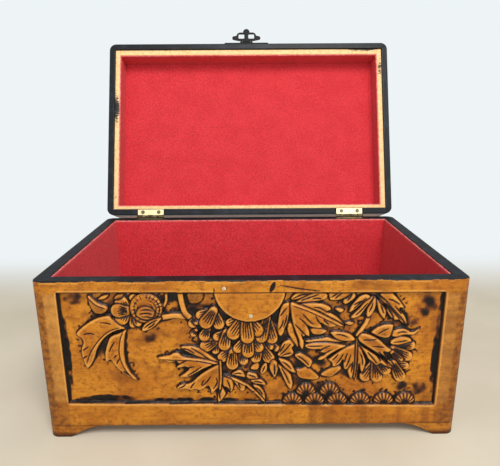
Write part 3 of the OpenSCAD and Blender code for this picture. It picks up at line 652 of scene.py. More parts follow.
def mid_right_leaf(c):
    """The largest leaf, over the right flower."""
    c.blade([(51, 77), (54, 77.9), (58, 77.7), (62, 77), (65.5, 75.2), (68.5, 71.3), (64, 70.6), (58, 70.8),
             (54.5, 72.8), (52.5, 75)], 2.2, [[(54.5, 75.6), (58.5, 75.4), (63, 73.6)]])
    c.blade([(34.8, 71.3), (40, 72.2), (46, 73.2), (50, 73.7), (54, 72.2), (62.5, 69.3), (56, 69.8),
             (48, 70.3),
             (42, 70.3), (36, 69.8)], 2.0)
    c.blade([(34.5, 68), (38, 69.5), (44, 69.9), (50, 69.9), (56, 69.1), (63, 67.2), (58, 65), (54, 62.7),
             (50.5, 60.2), (47, 57.3), (43.2, 57), (45, 59.5), (48, 61), (46.5, 62.4), (42.6, 62.3),
             (45, 64.7),
             (40, 64.8), (36.3, 65.8)], 2.4,
            [[(51.5, 67.8), (46.5, 65.3), (44.2, 62.4)], [(53, 65.2), (48.3, 62.2), (44.7, 59.6)],
             [(36.5, 67.6), (41, 67.4), (46, 67.6)]])
    c.blade([(66, 68.3), (61, 66), (56, 62.3), (52, 58.8), (50.3, 57.4), (53, 54.9), (53.5, 52.1),
             (56.5, 52.8),
             (59, 54.8), (60.4, 57), (60.8, 52.5), (62, 49.6), (64.5, 51.2), (66, 54), (63.8, 50), (64.4, 46),
             (66.3, 42.5), (68, 46), (68.5, 55), (68.5, 63), (68.3, 68.5)], 2.5,
            [[(60.5, 62), (58.3, 57.5), (55.7, 54)], [(63, 62.5), (62, 59), (61.5, 55.5)],
             [(65.5, 61.5), (64, 56), (62.5, 52)], [(66.8, 56), (66.8, 52), (66, 47.5)],
             [(57, 61.5), (55, 58.8), (53, 57)]])
    c.blade([(69, 68.5), (69.6, 60), (70, 52), (69.5, 45), (68.5, 42.3), (70.3, 42.2), (71.3, 54), (72, 50),
             (73.7, 47.4), (75.2, 52), (75.7, 56), (74.2, 60.5), (72, 65.5)], 2.4,
             [[(71.4, 62.5), (73, 58.5), (73.7, 53)]])
    c.blade([(69.5, 71.7), (70, 74.7), (72, 76.5), (76, 76), (80, 74.2), (84, 71.7), (87, 68.7), (90, 66),
             (92.3, 64.4), (90, 62.3), (87, 62.8), (90, 58), (93.5, 54.5), (94.3, 51.6), (87, 58.8),
             (80, 63.8), (74, 67.8)], 2.6,
            [[(73, 71.8), (77.5, 71.7), (81.5, 72)], [(79, 67.2), (83, 66.8), (87, 66.4)],
             [(83.5, 63.3), (86, 60.8), (90.5, 56.6)]])
    c.blade([(69.7, 69.3), (74, 66.3), (80, 62.2), (86, 58.1), (90, 54.8), (94.3, 50.6), (88, 52.7),
             (85.5, 54.2),
             (83, 52.7), (80, 55.2), (77, 57.7), (75.3, 60.8), (72.7, 65)], 2.5,
            [[(76.3, 62.8), (80, 58.5), (83.2, 54.2)], [(82.5, 60.2), (84.3, 58), (85.4, 55.8)]],
            [[(69.3, 70.3), (78, 64.6), (86, 58.8), (93, 52.2)]])
    c.stem([(68.8, 71.5), (68.9, 62), (69, 52), (68.3, 44)], 1.3, 2.7)


def side_leaves(c):
    """The leaves beyond the middle leaf at the right edge."""
    c.blade([(91, 68.5), (96, 67.3), (101, 68.7), (105.3, 70.3), (103, 73), (98, 73.7), (92.3, 71.7)], 2.0,
            [[(93, 69.7), (97.5, 70), (102, 70.9)]])
    c.blade([(92, 77.6), (95, 79.2), (99, 79.6), (102.5, 78.2), (105, 77), (110, 79.8), (108.5, 76.8),
             (105.5, 74.5), (100, 74.8), (95, 73.3), (91.3, 74.2)], 2.1,
             [[(95, 76.2), (98.5, 77.2), (102, 76.7)]])
    c.blade([(77.8, 77), (81, 80.2), (85, 82.2), (89, 82.9), (92.3, 82.2), (91.8, 78), (90.7, 73.8),
             (88, 72.6),
             (84, 73.3), (80.3, 75.1)], 2.2, [[(82.5, 75.6), (85.5, 78), (89.5, 79.8)]])


def ground_sprays(c):
    """The small leaves and mounds between the chrysanthemum and the shell scales."""
    c.blade([(29, 50), (31, 44), (36, 42), (43, 41.7), (45.3, 44), (41, 48.7), (37, 51.8), (32, 50.3)], 1.3)
    c.blade([(46, 46.3), (48, 44.3), (53, 43.7), (56, 45.8), (60, 50), (58, 52.3), (52, 50.5)], 1.4)
    c.blade([(28.3, 61), (32, 62.3), (36, 60.3), (40.3, 56.5), (39.3, 51.8), (37.3, 51.2), (33, 55.3),
             (29, 58.8)], 1.7, [[(30, 60.3), (34, 57.5), (38, 53.2)]])
    c.blade([(-1.2, 50.3), (0.5, 53.7), (4, 55.3), (5.2, 52.5), (3.5, 49.6)], 1.6)
    c.blade([(8.5, 55.2), (6, 51.5), (5.3, 48), (7, 46.4), (9.5, 48.3), (10.5, 51), (10.2, 55)], 1.9,
            [[(8.8, 53), (7.7, 50.5), (7, 48.3)]])
    c.blade([(14, 58), (11.6, 54), (11.8, 50), (13.7, 46), (15.3, 43.2), (16.7, 47), (17.7, 50.5),
             (17.7, 54.5)],
            2.2, [[(14.8, 54.5), (15.2, 50.5), (15.1, 46.5)]])
    c.blade([(17.3, 54.3), (18.8, 49), (20.8, 44), (23.3, 38.3), (26.2, 34.4), (27.6, 39), (26.8, 44),
             (25.7, 47.2), (22, 50.8)], 2.2, [[(19.6, 51.8), (22.6, 46), (25.3, 39.6)]])
    c.blade([(17.3, 58.8), (22, 57.8), (26, 55.2), (28.6, 50), (29.5, 47.6), (26.5, 48), (23, 50.3),
             (19.8, 54)],
            2.3, [[(20, 56.3), (23.3, 54), (26.3, 50.6)]])
    c.blade([(16.8, 60.8), (18.3, 65), (20, 69.7), (24, 72.3), (26.7, 71.2), (28.3, 68.5), (26.7, 66),
             (27.8, 62.5), (25, 59.8), (20.5, 59.5)], 2.3,
            [[(18.3, 61), (22, 64.7), (25.5, 69.3)], [(20, 60.8), (23, 61.9), (26.3, 62.6)],
             [(18.5, 63), (20, 66), (21.8, 69.3)]])


def shell_scales(c, lower=(27.5, 42.5, 58, 73.5, 89.5, 104), upper=(36.5, 52.5)):
    for x in upper:
        c.shell(x, 32.0, 6.7, 7.4)
    for x in lower:
        c.shell(x, 24.8, 6.9, 6.9)


def front_carving():
    c = Carving(125.5, 20.0, 113.0)
    branches(c)
    chrysanthemum(c)
    right_flower(c)
    ground_sprays(c)
    side_leaves(c)
    round_bloom(c)
    bud_leaves(c)
    top_right_leaf(c)
    mid_right_leaf(c)
    centre_right_leaf(c)
    low_left_leaf(c)
    shell_scales(c)
    c.frame(-PANEL_HALF, PANEL_HALF, 26.2, 22.9, 106.3, 105.0)
    c.boss(BOSS_X, BOSS_Z, BOSS_R, 105.7)
    for patch in FRONT_SOOT:
        c.soot(*patch)
    for line, width, dark in FRONT_MARKS:
        c.cut(line, width, 0.04, dark)
    c.finish()
    return c


# Dark patches of the front's ground: x, z, reach along x and z, and strength.
FRONT_SOOT = [
    (-98, 27.5, 26, 4.5, 1.0), (-40, 26.5, 50, 2.6, 0.9), (60, 24.0, 60, 3.0, 0.95), (-122, 60, 2.6, 38, 0.8),
    (122, 60, 3.0, 40, 0.85), (-114, 101, 10, 6, 0.6), (114, 95, 9, 12, 0.55), (-52, 101, 12, 5, 0.75),
    (108, 35, 16, 9, 0.6), (-68, 74, 8, 6, 0.5), (40, 54, 14, 8, 0.7), (8, 62, 10, 8, 0.8),
    (100, 84, 14, 6, 0.5),
]
# Marks on the front's rail: an old oily stain, a scratch and a tick.
FRONT_MARKS = [
    ([(12, 106.6), (13.2, 109), (14.6, 112.6)], 4.2, 0.9),
    ([(18, 110.8), (30, 108.4), (43.5, 106.6)], 1.3, 0.85),
    ([(-23.6, 106.2), (-24.0, 109.4)], 1.0, 0.9),
]


def back_carving():
    """The back isn't seen in the photo's view: the same kinds of motif, laid out anew."""
    c = Carving(125.5, 22.0, 107.5, step=0.5)
    branches(c.at(-8, -2, -1, 1))
    chrysanthemum(c.at(-4, -6))
    bud_leaves(c.at(-14, 2))
    mid_right_leaf(c.at(-8, 2))
    low_left_leaf(c.at(-3, -4, -1, 0.95))
    centre_right_leaf(c.at(-18, -3, -1, 0.95))
    top_right_leaf(c.at(2, 0))
    shell_scales(c.at(0, 0.6, -1, 1))
    c.frame(-PANEL_HALF, PANEL_HALF, PANEL_LOW, PANEL_LOW, PANEL_HIGH, PANEL_HIGH)
    c.finish()
    return c


def side_carving(flip):
    """One end of the box: a bloom with leaves, mirrored from end to end."""
    half = BODY_D / 2 - STILE
    c = Carving(half + 1.7, 22.0, 107.5, step=0.5)
    branches(c.at(48 * flip, -14, flip))
    chrysanthemum(c.at(-10 * flip, 10, flip, 0.85))
    bud_leaves(c.at(45 * flip, -1, flip))
    mid_right_leaf(c.at(-36 * flip, 13, flip, 0.95))
    low_left_leaf(c.at(18 * flip, 2, flip, 0.9))
    shell_scales(c.at(-70 * flip, 0.6, flip), upper=(52.5, 67.5), lower=(27.5, 43.0, 58.5, 74, 89.5, 105))
    c.frame(-half, half, PANEL_LOW, PANEL_LOW, PANEL_HIGH, PANEL_HIGH)
    c.finish()
    return c


def lid_top_carving():
    """The lid's top isn't seen either: a wreath of the same leaves round the flower."""
    half_w, half_d = LID_W / 2 - LID_BORDER, BODY_D / 2 - LID_BORDER
    c = Carving(half_w + 1.5, -half_d - 1.5, half_d + 1.5, step=0.6)
    for flip in (-1, 1):
        branches(c.at(6 * flip, -72, flip, LID_MOTIF))
        bud_leaves(c.at(0, -62, flip, LID_MOTIF))
        low_left_leaf(c.at(-24 * flip, -90, flip, 1.1))
        mid_right_leaf(c.at(-4 * flip, -98, flip, LID_MOTIF))
        top_right_leaf(c.at(6 * flip, -62, flip, LID_MOTIF))
        shell_scales(c.at(0, -95, flip, 1.1))
    centre_right_leaf(c.at(0, -58, 1, LID_MOTIF))
    centre_right_leaf(c.at(-14, -58, -1, LID_MOTIF))
    chrysanthemum(c.at(10, -82, 1, 1.25))
    c.frame(-half_w, half_w, -half_d, -half_d, half_d, half_d)
    c.finish()
    return c


def rail_carving(half, boss_half=0.0):
    """The narrow panel of a lid rail: a running row of small leaves."""
    low, high = LID_Z0 + RAIL_BORDER, LID_Z1 - RAIL_BORDER
    c = Carving(half + 2, low - 1.5, high + 1.5, RAIL_DEPTH, step=0.45)
    middle = (low + high) / 2
    count = int(half / 15)
    pitch = half / count
    for i in range(-count, count):
        x, up = (i + 0.5) * pitch, 1 if i % 2 else -1
        if abs(x) < boss_half:
            continue
        c.stem([(x - pitch / 2, middle - 2.5 * up), (x, middle), (x + pitch / 2, middle + 2.5 * up)], 1.6)
        for side in (-1, 1):
            tip = (x + 4.5 * side, middle + 4.3 * up * side)
            c.blade([(x, middle), (x + 1.2 * side, middle + 3.2 * up * side), tip,
                     (x + 6.6 * side, middle + 1.6 * up * side), (x + 3.6 * side, middle - 0.6 * up * side)],
                     2.4,
                    [[(x + 1.3 * side, middle + 0.8 * up * side), (x + 4.3 * side, middle + 3 * up * side)]])
    c.frame(-half, half, low, low, high, high)
    if boss_half:
        c.rise(boss_half - np.abs(c.x))
    c.finish()
    return c


# ---------------------------------------------------------------- board meshes

EDGE = 0.9          # rounding of the boards' upper outer edges
SOFT = 0.45         # rounding of the other edges
# The paint line's waviness: waves per millimetre times tau, phase and height.
PAINT_WAVES = ((0.11, 0, 0.35), (0.37, 2, 0.25), (0.9, 4, 0.18), (2.3, 1, 0.1))
LEAF_SINK = 0.85    # depth of the hinge leaves' recess, under the leaf


def in_lid(points):
    """From the shut lid's own frame to where the open lid is."""
    return turned(np.array(points, float) + (LID_SHIFT, 0, 0), -LID_OPEN, LID_PIVOT)


def facing(points, turn):
    """From the front's frame to the side of the box with that number of quarter turns."""
    a = math.radians(90 * turn)
    x = points[..., 0] * math.cos(a) - points[..., 1] * math.sin(a)
    y = points[..., 0] * math.sin(a) + points[..., 1] * math.cos(a)
    return np.stack([x, y, points[..., 2]], -1)


def make_piece(name, points, faces, material, fields=None, flat_faces=0):
    """A smooth-shaded mesh from points in millimetres. The last flat_faces faces stay flat."""
    mesh = bpy.data.meshes.new(name)
    mesh.from_pydata((np.array(points) * M).tolist(), [], faces)
    smooth_flags = np.ones(len(mesh.polygons), bool)
    if flat_faces:
        smooth_flags[-flat_faces:] = False
    mesh.polygons.foreach_set("use_smooth", smooth_flags)
    for key, values in (fields or {}).items():
        values = np.asarray(values, np.float32)
        kind = "FLOAT_VECTOR" if values.ndim == 2 else "FLOAT"
        layer = mesh.attributes.new(key, kind, "POINT")
        layer.data.foreach_set("vector" if values.ndim == 2 else "value", values.ravel())
    mesh.materials.append(material)
    piece = bpy.data.objects.new(name, mesh)
    bpy.context.scene.collection.objects.link(piece)
    return piece


def merged_steps(*runs):
    """Rising places from (start, end, step) runs, each run's end included once."""
    out = []
    for start, end, step in runs:
        n = max(1, int(round((end - start) / step)))
        out.extend(np.linspace(start, end, n + 1)[:-1])
    out.append(runs[-1][1])
    return np.array(out)


def grid_faces(rows, columns, closed_rows):
    """Quads of a grid of points that is stored column after column."""
    k = np.arange(rows if closed_rows else rows - 1)
    j = np.arange(columns - 1)
    kk, jj = np.meshgrid(k, j)
    a = jj * rows + kk
    b = jj * rows + (kk + 1) % rows
    return np.stack([a, a + rows, b + rows, b], -1).reshape(-1, 4).tolist()


def frame_board(name, body, turn, width, depth, thick, radius, z0, z1, carving=None, material=None,
                edge=EDGE, step=0.56, sinks=(), lid=False, seed=0.0, paint_drop=0.8, fine=1.5):
    """One mitred board of a rectangular frame, with its carving cut into its outer face.

    A row of points runs round the board's section, and the rows follow each other along the board.
    The section is drawn with the painted rim above, and a lid's board is turned over afterwards.
    """
    def level(heights):
        return z0 + z1 - heights if lid else heights

    half = width / 2
    end_x = half - radius * (1 - math.sqrt(0.5))
    field = carving.x[0, -1] if carving is not None else half - 2 * thick
    field = min(field, half - radius - 0.5)
    leaf_ends = (-LEAF_W / 2, -LEAF_W / 2 + 0.05, LEAF_W / 2 - 0.05, LEAF_W / 2)
    marks = [s + end for s in sinks for end in leaf_ends]
    middle = step if carving is not None else fine
    flat = merged_steps((-half + radius, -field, fine), (-field, field, middle), (field, half - radius, fine))
    if marks:
        flat = np.array([x for x in flat if min(abs(x - m) for m in marks) > 0.12] + marks)
        flat.sort()
    steps = 6 if radius > 0 else 0
    angles = np.radians(np.linspace(0, 45, steps + 1))[1:]
    arc_x, arc_n = half - radius + radius * np.sin(angles), radius * (1 - np.cos(angles))
    px = np.concatenate([-arc_x[::-1], flat, arc_x])
    pn = np.concatenate([arc_n[::-1], 0 * flat, arc_n])
    kept_x = min(field, half - thick - 1)
    inner = kept_x + (np.abs(px) - kept_x) * (half - thick - kept_x) / (end_x - kept_x)
    qx = np.where(np.abs(px) <= kept_x, px, np.sign(px) * inner)

    if carving is not None:
        lo, hi = sorted(level(np.array([carving.z[0, 0], carving.z[-1, 0]])))
        face_z = merged_steps((z0 + SOFT, max(lo, z0 + SOFT + 0.3), fine),
                              (max(lo, z0 + SOFT + 0.3), min(hi, z1 - edge - 1), step),
                              (min(hi, z1 - edge - 1), z1 - edge, 0.4))
    else:
        face_z = merged_steps((z0 + SOFT, z1 - edge, 1.6))
    turn_a = np.radians(np.arange(15, 91, 15))
    round_n, round_z = edge * (1 - np.cos(turn_a)), z1 - edge + edge * np.sin(turn_a)
    across = merged_steps((edge, thick - SOFT, 1.0))[1:]
    if sinks and LEAF_D < thick:
        across = np.array([v for v in across if abs(v - LEAF_D) > 0.12] + [LEAF_D, LEAF_D + 0.06])
        across.sort()
    lip = np.radians([30, 60, 90])
    lip_n, lip_z = thick - SOFT + SOFT * np.sin(lip), z1 - SOFT + SOFT * np.cos(lip)
    back_z = merged_steps((z1 - SOFT, z0, 12.0))[1:]
    sec_n = np.concatenate([0 * face_z, round_n, across, lip_n, 0 * back_z + thick, [SOFT]])
    sec_z = np.concatenate([face_z, round_z, 0 * across + z1, lip_z, back_z, [z0]])
    rows, cols = len(sec_n), len(px)
    s, n = np.repeat(px[:, None], rows, 1), np.repeat(sec_n[None], cols, 0)
    z = np.repeat(sec_z[None], cols, 0)

    fields = {k: np.zeros(s.shape) for k in ("stain", "worn", "shade", "paint", "age")}
    fields["shade"] += 0.5
    k_face = len(face_z)
    if carving is not None:
        drop, stain, worn, shade = carving.sample(s[:, :k_face], level(z[:, :k_face]))
        on_flat = np.abs(s[:, :k_face]) < half - radius
        n[:, :k_face] = np.clip(np.where(on_flat, -drop, 0), 0, thick * 0.6)
        for key, values in (("stain", stain), ("worn", worn), ("shade", shade)):
            fields[key][:, :k_face] = np.where(on_flat, values, 0.5 if key == "shade" else 0)
    wave = sum(np.sin(s * f + seed * 3 + p) * a for f, p, a in PAINT_WAVES)
    fields["paint"] = smooth((z - (z1 - paint_drop) + 0.6 * wave) / 0.45)
    outside = n < edge + 0.01
    # A pale line just below the paint on the outer face: partly rubbed wear, partly a painted glint along the
    # top edge.
    below_paint = z - (z1 - paint_drop - 0.9 + 0.5 * wave)
    rubbed = np.exp(-(below_paint / 0.5) ** 2) * smooth(0.4 + 1.6 * wave) * outside
    fields["worn"] = np.maximum(fields["worn"], 0.9 * rubbed)
    # Painted shade: darker on the stiles below the top rail, towards the lower edge and near the corners.
    upright = smooth((np.abs(s) - half + STILE + 1.0) / 2.5) * smooth((z1 - 7.0 - z) / 4.0)
    foot = smooth((z0 + 7.0 - z) / 8.0)
    corner = smooth((np.abs(s) - half + 16) / 14)
    fields["age"] = np.clip(0.75 * upright + 0.35 * foot + 0.30 * corner, 0, 1)
    fields["paint"] *= smooth((thick + 0.3 - n) / 0.3 + 1)
    flat_top = (z >= z1 - 0.001) & (n < thick - SOFT)
    z = z - 0.035 * flat_top * (1 + np.sin(s * 0.21 + seed) * np.sin(n * 0.9 + s * 0.05))
    for centre in sinks:
        under_leaf = (np.abs(s - centre) < LEAF_W / 2 - 0.02) & (n <= LEAF_D)
        z = np.where(under_leaf, np.minimum(z, z1 - LEAF_SINK), z)
    t = n / thick
    x = s + (qx[:, None] - s) * np.clip(t, 0, 1)
    y = pn[:, None] * (1 - t) + n
    points = facing(np.stack([x, y - depth / 2, level(z)], -1), turn).reshape(-1, 3)
    faces = grid_faces(rows, cols, True)
    faces.append(list(range(rows))[::-1])
    faces.append(list(range((cols - 1) * rows, cols * rows)))
    if lid:
        points = in_lid(points)
        faces = [face[::-1] for face in faces]
    data = {k: v.ravel() for k, v in fields.items()}
    data["grain"] = np.stack([s + 37 * seed, z, n + 11 * seed], -1).reshape(-1, 3)
    piece = make_piece(name, points, faces, material, data, 2)
    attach(piece, body)
    return piece


def lid_top(name, body, material):
    """The lid's top board: a rounded plate with its carving in the upper face."""
    carving = lid_top_carving()
    half_w, half_d, r, e = LID_W / 2, BODY_D / 2, CORNER_R, 2.0

    def places(half, field):
        return merged_steps((-half, -half + e, 0.4), (-half + e, -field, 1.3), (-field, field, 0.72),
                            (field, half - e, 1.3), (half - e, half, 0.4))

    xs = places(half_w, carving.x[0, -1] - 0.5)
    ys = places(half_d, carving.z[-1, 0] - 0.5)
    x, y = np.meshgrid(xs, ys, indexing="ij")
    drop, stain, worn, shade = carving.sample(x, y)
    edge = np.minimum(half_w - np.abs(x), half_d - np.abs(y))
    drop = np.where(edge > LID_BORDER - 2, drop, 0)
    fall = e - np.sqrt(np.clip(e**2 - np.clip(e - edge, 0, e) ** 2, 0, None))
    z = LID_TOP + np.minimum(drop, 0) - fall
    u = np.clip((np.abs(x) - half_w + r) / r, 0, 1)
    v = np.clip((np.abs(y) - half_d + r) / r, 0, 1)
    corner = (u > 0) & (v > 0)
    xr = np.sign(x) * (half_w - r + r * u * np.sqrt(1 - v**2 / 2))
    yr = np.sign(y) * (half_d - r + r * v * np.sqrt(1 - u**2 / 2))
    px, py = np.where(corner, xr, x), np.where(corner, yr, y)
    rows, cols = len(ys), len(xs)
    points = np.stack([px, py, z], -1).reshape(-1, 3)
    ring = ([j * rows for j in range(cols)] + [(cols - 1) * rows + i for i in range(1, rows)]
            + [j * rows + rows - 1 for j in range(cols - 2, -1, -1)] + [i for i in range(rows - 2, 0, -1)])
    faces = grid_faces(rows, cols, False)
    lower = [points]
    above = ring
    count = len(points)
    for height in (LID_Z1 + 4.5, LID_Z1 + 0.5, LID_Z1):
        level_ring = points[ring].copy()
        level_ring[:, 2] = height
        lower.append(level_ring)
        below = list(range(count, count + len(ring)))
        count += len(ring)
        for k in range(len(ring)):
            m = (k + 1) % len(ring)
            faces.append([above[k], below[k], below[m], above[m]])
        above = below
    faces.append(above[::-1])
    points = np.vstack(lower)
    extra = len(points) - x.size
    data = {k: np.concatenate([f.ravel(), np.full(extra, rest)]) for k, f, rest in
            (("stain", stain, 0), ("worn", worn, 0), ("shade", shade, 0.5))}
    data["paint"] = np.zeros(len(points))
    data["age"] = np.zeros(len(points))
    data["grain"] = points + (0, 400, 0)
    piece = make_piece(name, in_lid(points), faces, material, data, 1)
    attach(piece, body)
    return piece


def slab(name, body, low, high, face, material, lid=False, step=1.6, soft=0.3, lumps=0.08, fields=None):
    """A thin flat piece that fills a box and whose given face, such as "+z", is slightly uneven."""
    axis, sign = "xyz".index(face[1]), 1 if face[0] == "+" else -1
    low, high = np.array(low, float), np.array(high, float)
    u_axis, v_axis = [k for k in range(3) if k != axis]
    flip = (sign > 0) != (axis == 1)
    length, height, thick = high[u_axis] - low[u_axis], high[v_axis] - low[v_axis], high[axis] - low[axis]
    soft = min(soft, thick * 0.45)
    a = np.radians([0, 30, 60, 90])
    us = np.concatenate([soft * (1 - np.cos(a))[:-1], merged_steps((soft, length - soft, step)),
                         length - soft * (1 - np.cos(a[::-1]))[1:]])
    side = np.concatenate([soft * (1 - np.sin(a))[:-1], np.zeros(len(us) - 2 * (len(a) - 1)),
                           soft * (1 - np.sin(a[::-1]))[1:]])
    vs = np.concatenate([soft * (1 - np.cos(a)), merged_steps((soft, height - soft, step))[1:-1],
                         height - soft * (1 - np.cos(a[::-1]))])
    v_side = np.concatenate([soft * (1 - np.sin(a)), np.zeros(len(vs) - 2 * len(a)),
                             soft * (1 - np.sin(a[::-1]))])
    k = len(vs)
    sec_v = np.concatenate([vs, [height, height / 2, 0]])
    sec_w = np.concatenate([thick - v_side, [0, 0, 0]])
    rows, cols = len(sec_v), len(us)
    v, w = np.repeat(sec_v[None], cols, 0), np.repeat(sec_w[None], cols, 0)
    uneven = lumps * (0.7 * noise_like(v[:, :k], 9 / step) + 0.3 * noise_like(v[:, :k], 2.5 / step))
    inset = np.minimum(np.minimum(us[:, None], length - us[:, None]), np.minimum(vs, height - vs)[None])
    w[:, :k] = w[:, :k] - side[:, None] + np.clip(uneven, -0.3, 0.12) * smooth(inset / 3)
    place = np.zeros((cols, rows, 3))
    place[..., u_axis] = low[u_axis] + us[:, None]
    place[..., v_axis] = low[v_axis] + v
    place[..., axis] = low[axis] + w if sign > 0 else high[axis] - w
    points = place.reshape(-1, 3)
    faces = grid_faces(rows, cols, True)
    faces.append(list(range(rows))[::-1])
    faces.append(list(range((cols - 1) * rows, cols * rows)))
    if not flip:
        faces = [face[::-1] for face in faces]
    data = {"grain": points.copy()}
    for key, rule in (fields or {}).items():
        data[key] = rule(points)
    if lid:
        points = in_lid(points)
    piece = make_piece(name, points, faces, material, data, 2)
    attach(piece, body)
    return piece


# ---------------------------------------------------------------- materials


def srgb(r, g, b):
    """A linear colour from display values of 0 to 255."""
    def linear(v):
        v = v / 255
        return v / 12.92 if v <= 0.04045 else ((v + 0.055) / 1.055) ** 2.4
    return (linear(r), linear(g), linear(b), 1.0)


class Graph:
    """A material's node graph round its main shader."""

    def __init__(self, name):
        self.material = bpy.data.materials.new(name)
        self.material.use_nodes = True
        self.tree = self.material.node_tree
        self.shader = self.tree.nodes["Principled BSDF"]

    def feed(self, socket, value):
        if isinstance(value, bpy.types.NodeSocket):
            self.tree.links.new(value, socket)
        else:
            socket.default_value = value

    def add(self, kind, inputs=None, **settings):
        node = self.tree.nodes.new(kind)
        for key, value in settings.items():
            setattr(node, key, value)
        for key, value in (inputs or {}).items():
            self.feed(node.inputs[key], value)
        return node

    def surface(self, **inputs):
        for key, value in inputs.items():
            self.feed(self.shader.inputs[key.replace("_", " ")], value)
        return self.material

    def field(self, name):
        return self.add("ShaderNodeAttribute", attribute_name=name).outputs["Fac"]

    def grain(self):
        return self.add("ShaderNodeAttribute", attribute_name="grain").outputs["Vector"]

    def place(self):
        """The place in the piece, in millimetres."""
        at = self.add("ShaderNodeTexCoord").outputs["Object"]
        return self.add("ShaderNodeVectorMath", {0: at, 1: (1000, 1000, 1000)},
                        operation="MULTIPLY").outputs[0]

    def noise(self, at, scale, detail=3.0, roughness=0.5, distortion=0.0):
        if isinstance(scale, tuple):
            at = self.add("ShaderNodeVectorMath", {0: at, 1: scale}, operation="MULTIPLY").outputs[0]
            scale = 1.0
        inputs = {"Vector": at, "Scale": scale, "Detail": detail, "Roughness": roughness,
                  "Distortion": distortion}
        return self.add("ShaderNodeTexNoise", inputs).outputs[0]

    def cells(self, at, scale):
        inputs = {"Vector": at, "Scale": scale}
        return self.add("ShaderNodeTexVoronoi", inputs, feature="F1").outputs["Distance"]

    def math(self, operation, a, b=0.0):
        return self.add("ShaderNodeMath", {0: a, 1: b}, operation=operation, use_clamp=False).outputs[0]

    def band(self, value, low, high):
        inputs = {"Value": value, "From Min": low, "From Max": high}
        return self.add("ShaderNodeMapRange", inputs, interpolation_type="SMOOTHSTEP").outputs[0]

    def span(self, value, low, high):
        """The value from 0 to 1 spread from low to high."""
        return self.add("ShaderNodeMapRange", {"Value": value, "To Min": low, "To Max": high}).outputs[0]

    def mix(self, share, a, b):
        node = self.add("ShaderNodeMix", {0: share, 6: a, 7: b}, data_type="RGBA", blend_type="MIX")
        return node.outputs[2]

    def bump(self, height, distance, strength=1.0):
        inputs = {"Height": height, "Distance": distance * M, "Strength": strength}
        return self.add("ShaderNodeBump", inputs).outputs[0]


def wood_colour(g, at, stain, worn, shade, age):
    """Golden varnished wood with brown mottling, dark stain in the hollows, paler wear and painted highlight,
    and painted shade.
    """
    blotch = g.noise(at, 0.045, 3.0)
    streaks = g.noise(at, (0.03, 0.5, 0.5), 4.0, 0.6, 0.4)
    pores = g.noise(at, (0.30, 2.2, 2.2), 3.0, 0.6, 0.3)
    mottle = g.noise(at, 0.30, 5.0, 0.70)
    fleck = g.noise(at, 0.95, 4.0, 0.7)
    tone = g.mix(g.band(blotch, 0.36, 0.64), srgb(170, 100, 20), srgb(194, 124, 30))
    tone = g.mix(g.math("MULTIPLY", g.band(streaks, 0.48, 0.68), 0.50), tone, srgb(146, 82, 18))
    tone = g.mix(g.math("MULTIPLY", g.band(mottle, 0.47, 0.68), 0.68), tone, srgb(116, 60, 16))
    tone = g.mix(g.math("MULTIPLY", g.band(pores, 0.54, 0.72), 0.45), tone, srgb(98, 50, 14))
    tone = g.mix(g.math("MULTIPLY", g.band(fleck, 0.56, 0.74), 0.45), tone, srgb(90, 44, 14))
    tone = g.mix(g.math("MULTIPLY", g.band(shade, 0.55, 0.95), 0.50), tone, srgb(112, 56, 16))
    # Painted shade at the sides, the lower edge and the corners, broken up by the mottling.
    ragged_side_shade = g.math("MULTIPLY", age, g.span(g.band(mottle, 0.40, 0.62), 0.55, 1.0))
    tone = g.mix(g.math("MULTIPLY", ragged_side_shade, 0.85), tone, srgb(98, 52, 20))
    # Painted highlight and wear: crests and the rubbed line below the rim turn pale gold.
    tone = g.mix(g.math("MULTIPLY", worn, 0.60), tone, srgb(226, 164, 80))
    ragged = g.math("ADD", stain, g.math("MULTIPLY", g.math("SUBTRACT", g.noise(at, 0.9, 4.0, 0.6), 0.5),
                                         0.36))
    tone = g.mix(g.band(ragged, 0.10, 0.55), tone, srgb(80, 38, 14))
    tone = g.mix(g.band(ragged, 0.40, 0.80), tone, srgb(13, 8, 6))
    height = g.math("ADD", g.math("MULTIPLY", pores, -0.5), g.math("MULTIPLY", mottle, -0.6))
    return tone, height, mottle


def carved_wood():
    """The boards: varnished wood, and black paint on the rims."""
    g = Graph("carved_wood_varnished")
    at = g.grain()
    tone, height, mottle = wood_colour(g, at, *[g.field(k) for k in ("stain", "worn", "shade", "age")])
    edge_noise = g.math("MULTIPLY", g.math("SUBTRACT", g.noise(at, 1.1, 3.0), 0.5), 0.55)
    chips = g.band(g.noise(at, 0.55, 4.0, 0.7), 0.73, 0.76)
    paint = g.band(g.math("ADD", g.field("paint"), edge_noise), 0.42, 0.58)
    paint = g.math("MULTIPLY", paint, g.math("SUBTRACT", 1.0, chips))
    # The black paint's bluish grey is partly dust, partly a painted sheen of the pale surroundings.
    dust_and_sheen = g.band(g.noise(at, 0.12, 4.0, 0.6), 0.45, 0.75)
    black = g.mix(dust_and_sheen, srgb(8, 12, 17), srgb(28, 37, 47))
    rough = g.math("ADD", g.span(mottle, 0.34, 0.54), g.math("MULTIPLY", paint, 0.12))
    g.surface(Base_Color=g.mix(paint, tone, black), Roughness=rough, Normal=g.bump(height, 0.16, 0.7),
              Coat_Weight=0.10, Coat_Roughness=0.28, Specular_IOR_Level=0.22)
    return g.material


def plain_wood():
    """The feet and the bottom board, which carry no fields: painted shade darkens them towards the floor."""
    g = Graph("foot_wood_stained")
    at = g.place()
    low = g.add("ShaderNodeSeparateXYZ", {0: at}).outputs[2]
    # Painted shade: darker towards the floor, fed in as stain, with half the painted side shade all over.
    stain = g.math("MULTIPLY", g.math("SUBTRACT", 1.0, g.band(low, -1.0, 7.5)), 0.62)
    tone, height, mottle = wood_colour(g, at, stain, 0.0, 0.5, 0.5)
    return g.surface(Base_Color=tone, Roughness=g.span(mottle, 0.36, 0.58), Normal=g.bump(height, 0.2, 0.8),
                     Coat_Weight=0.08, Coat_Roughness=0.3, Specular_IOR_Level=0.22)


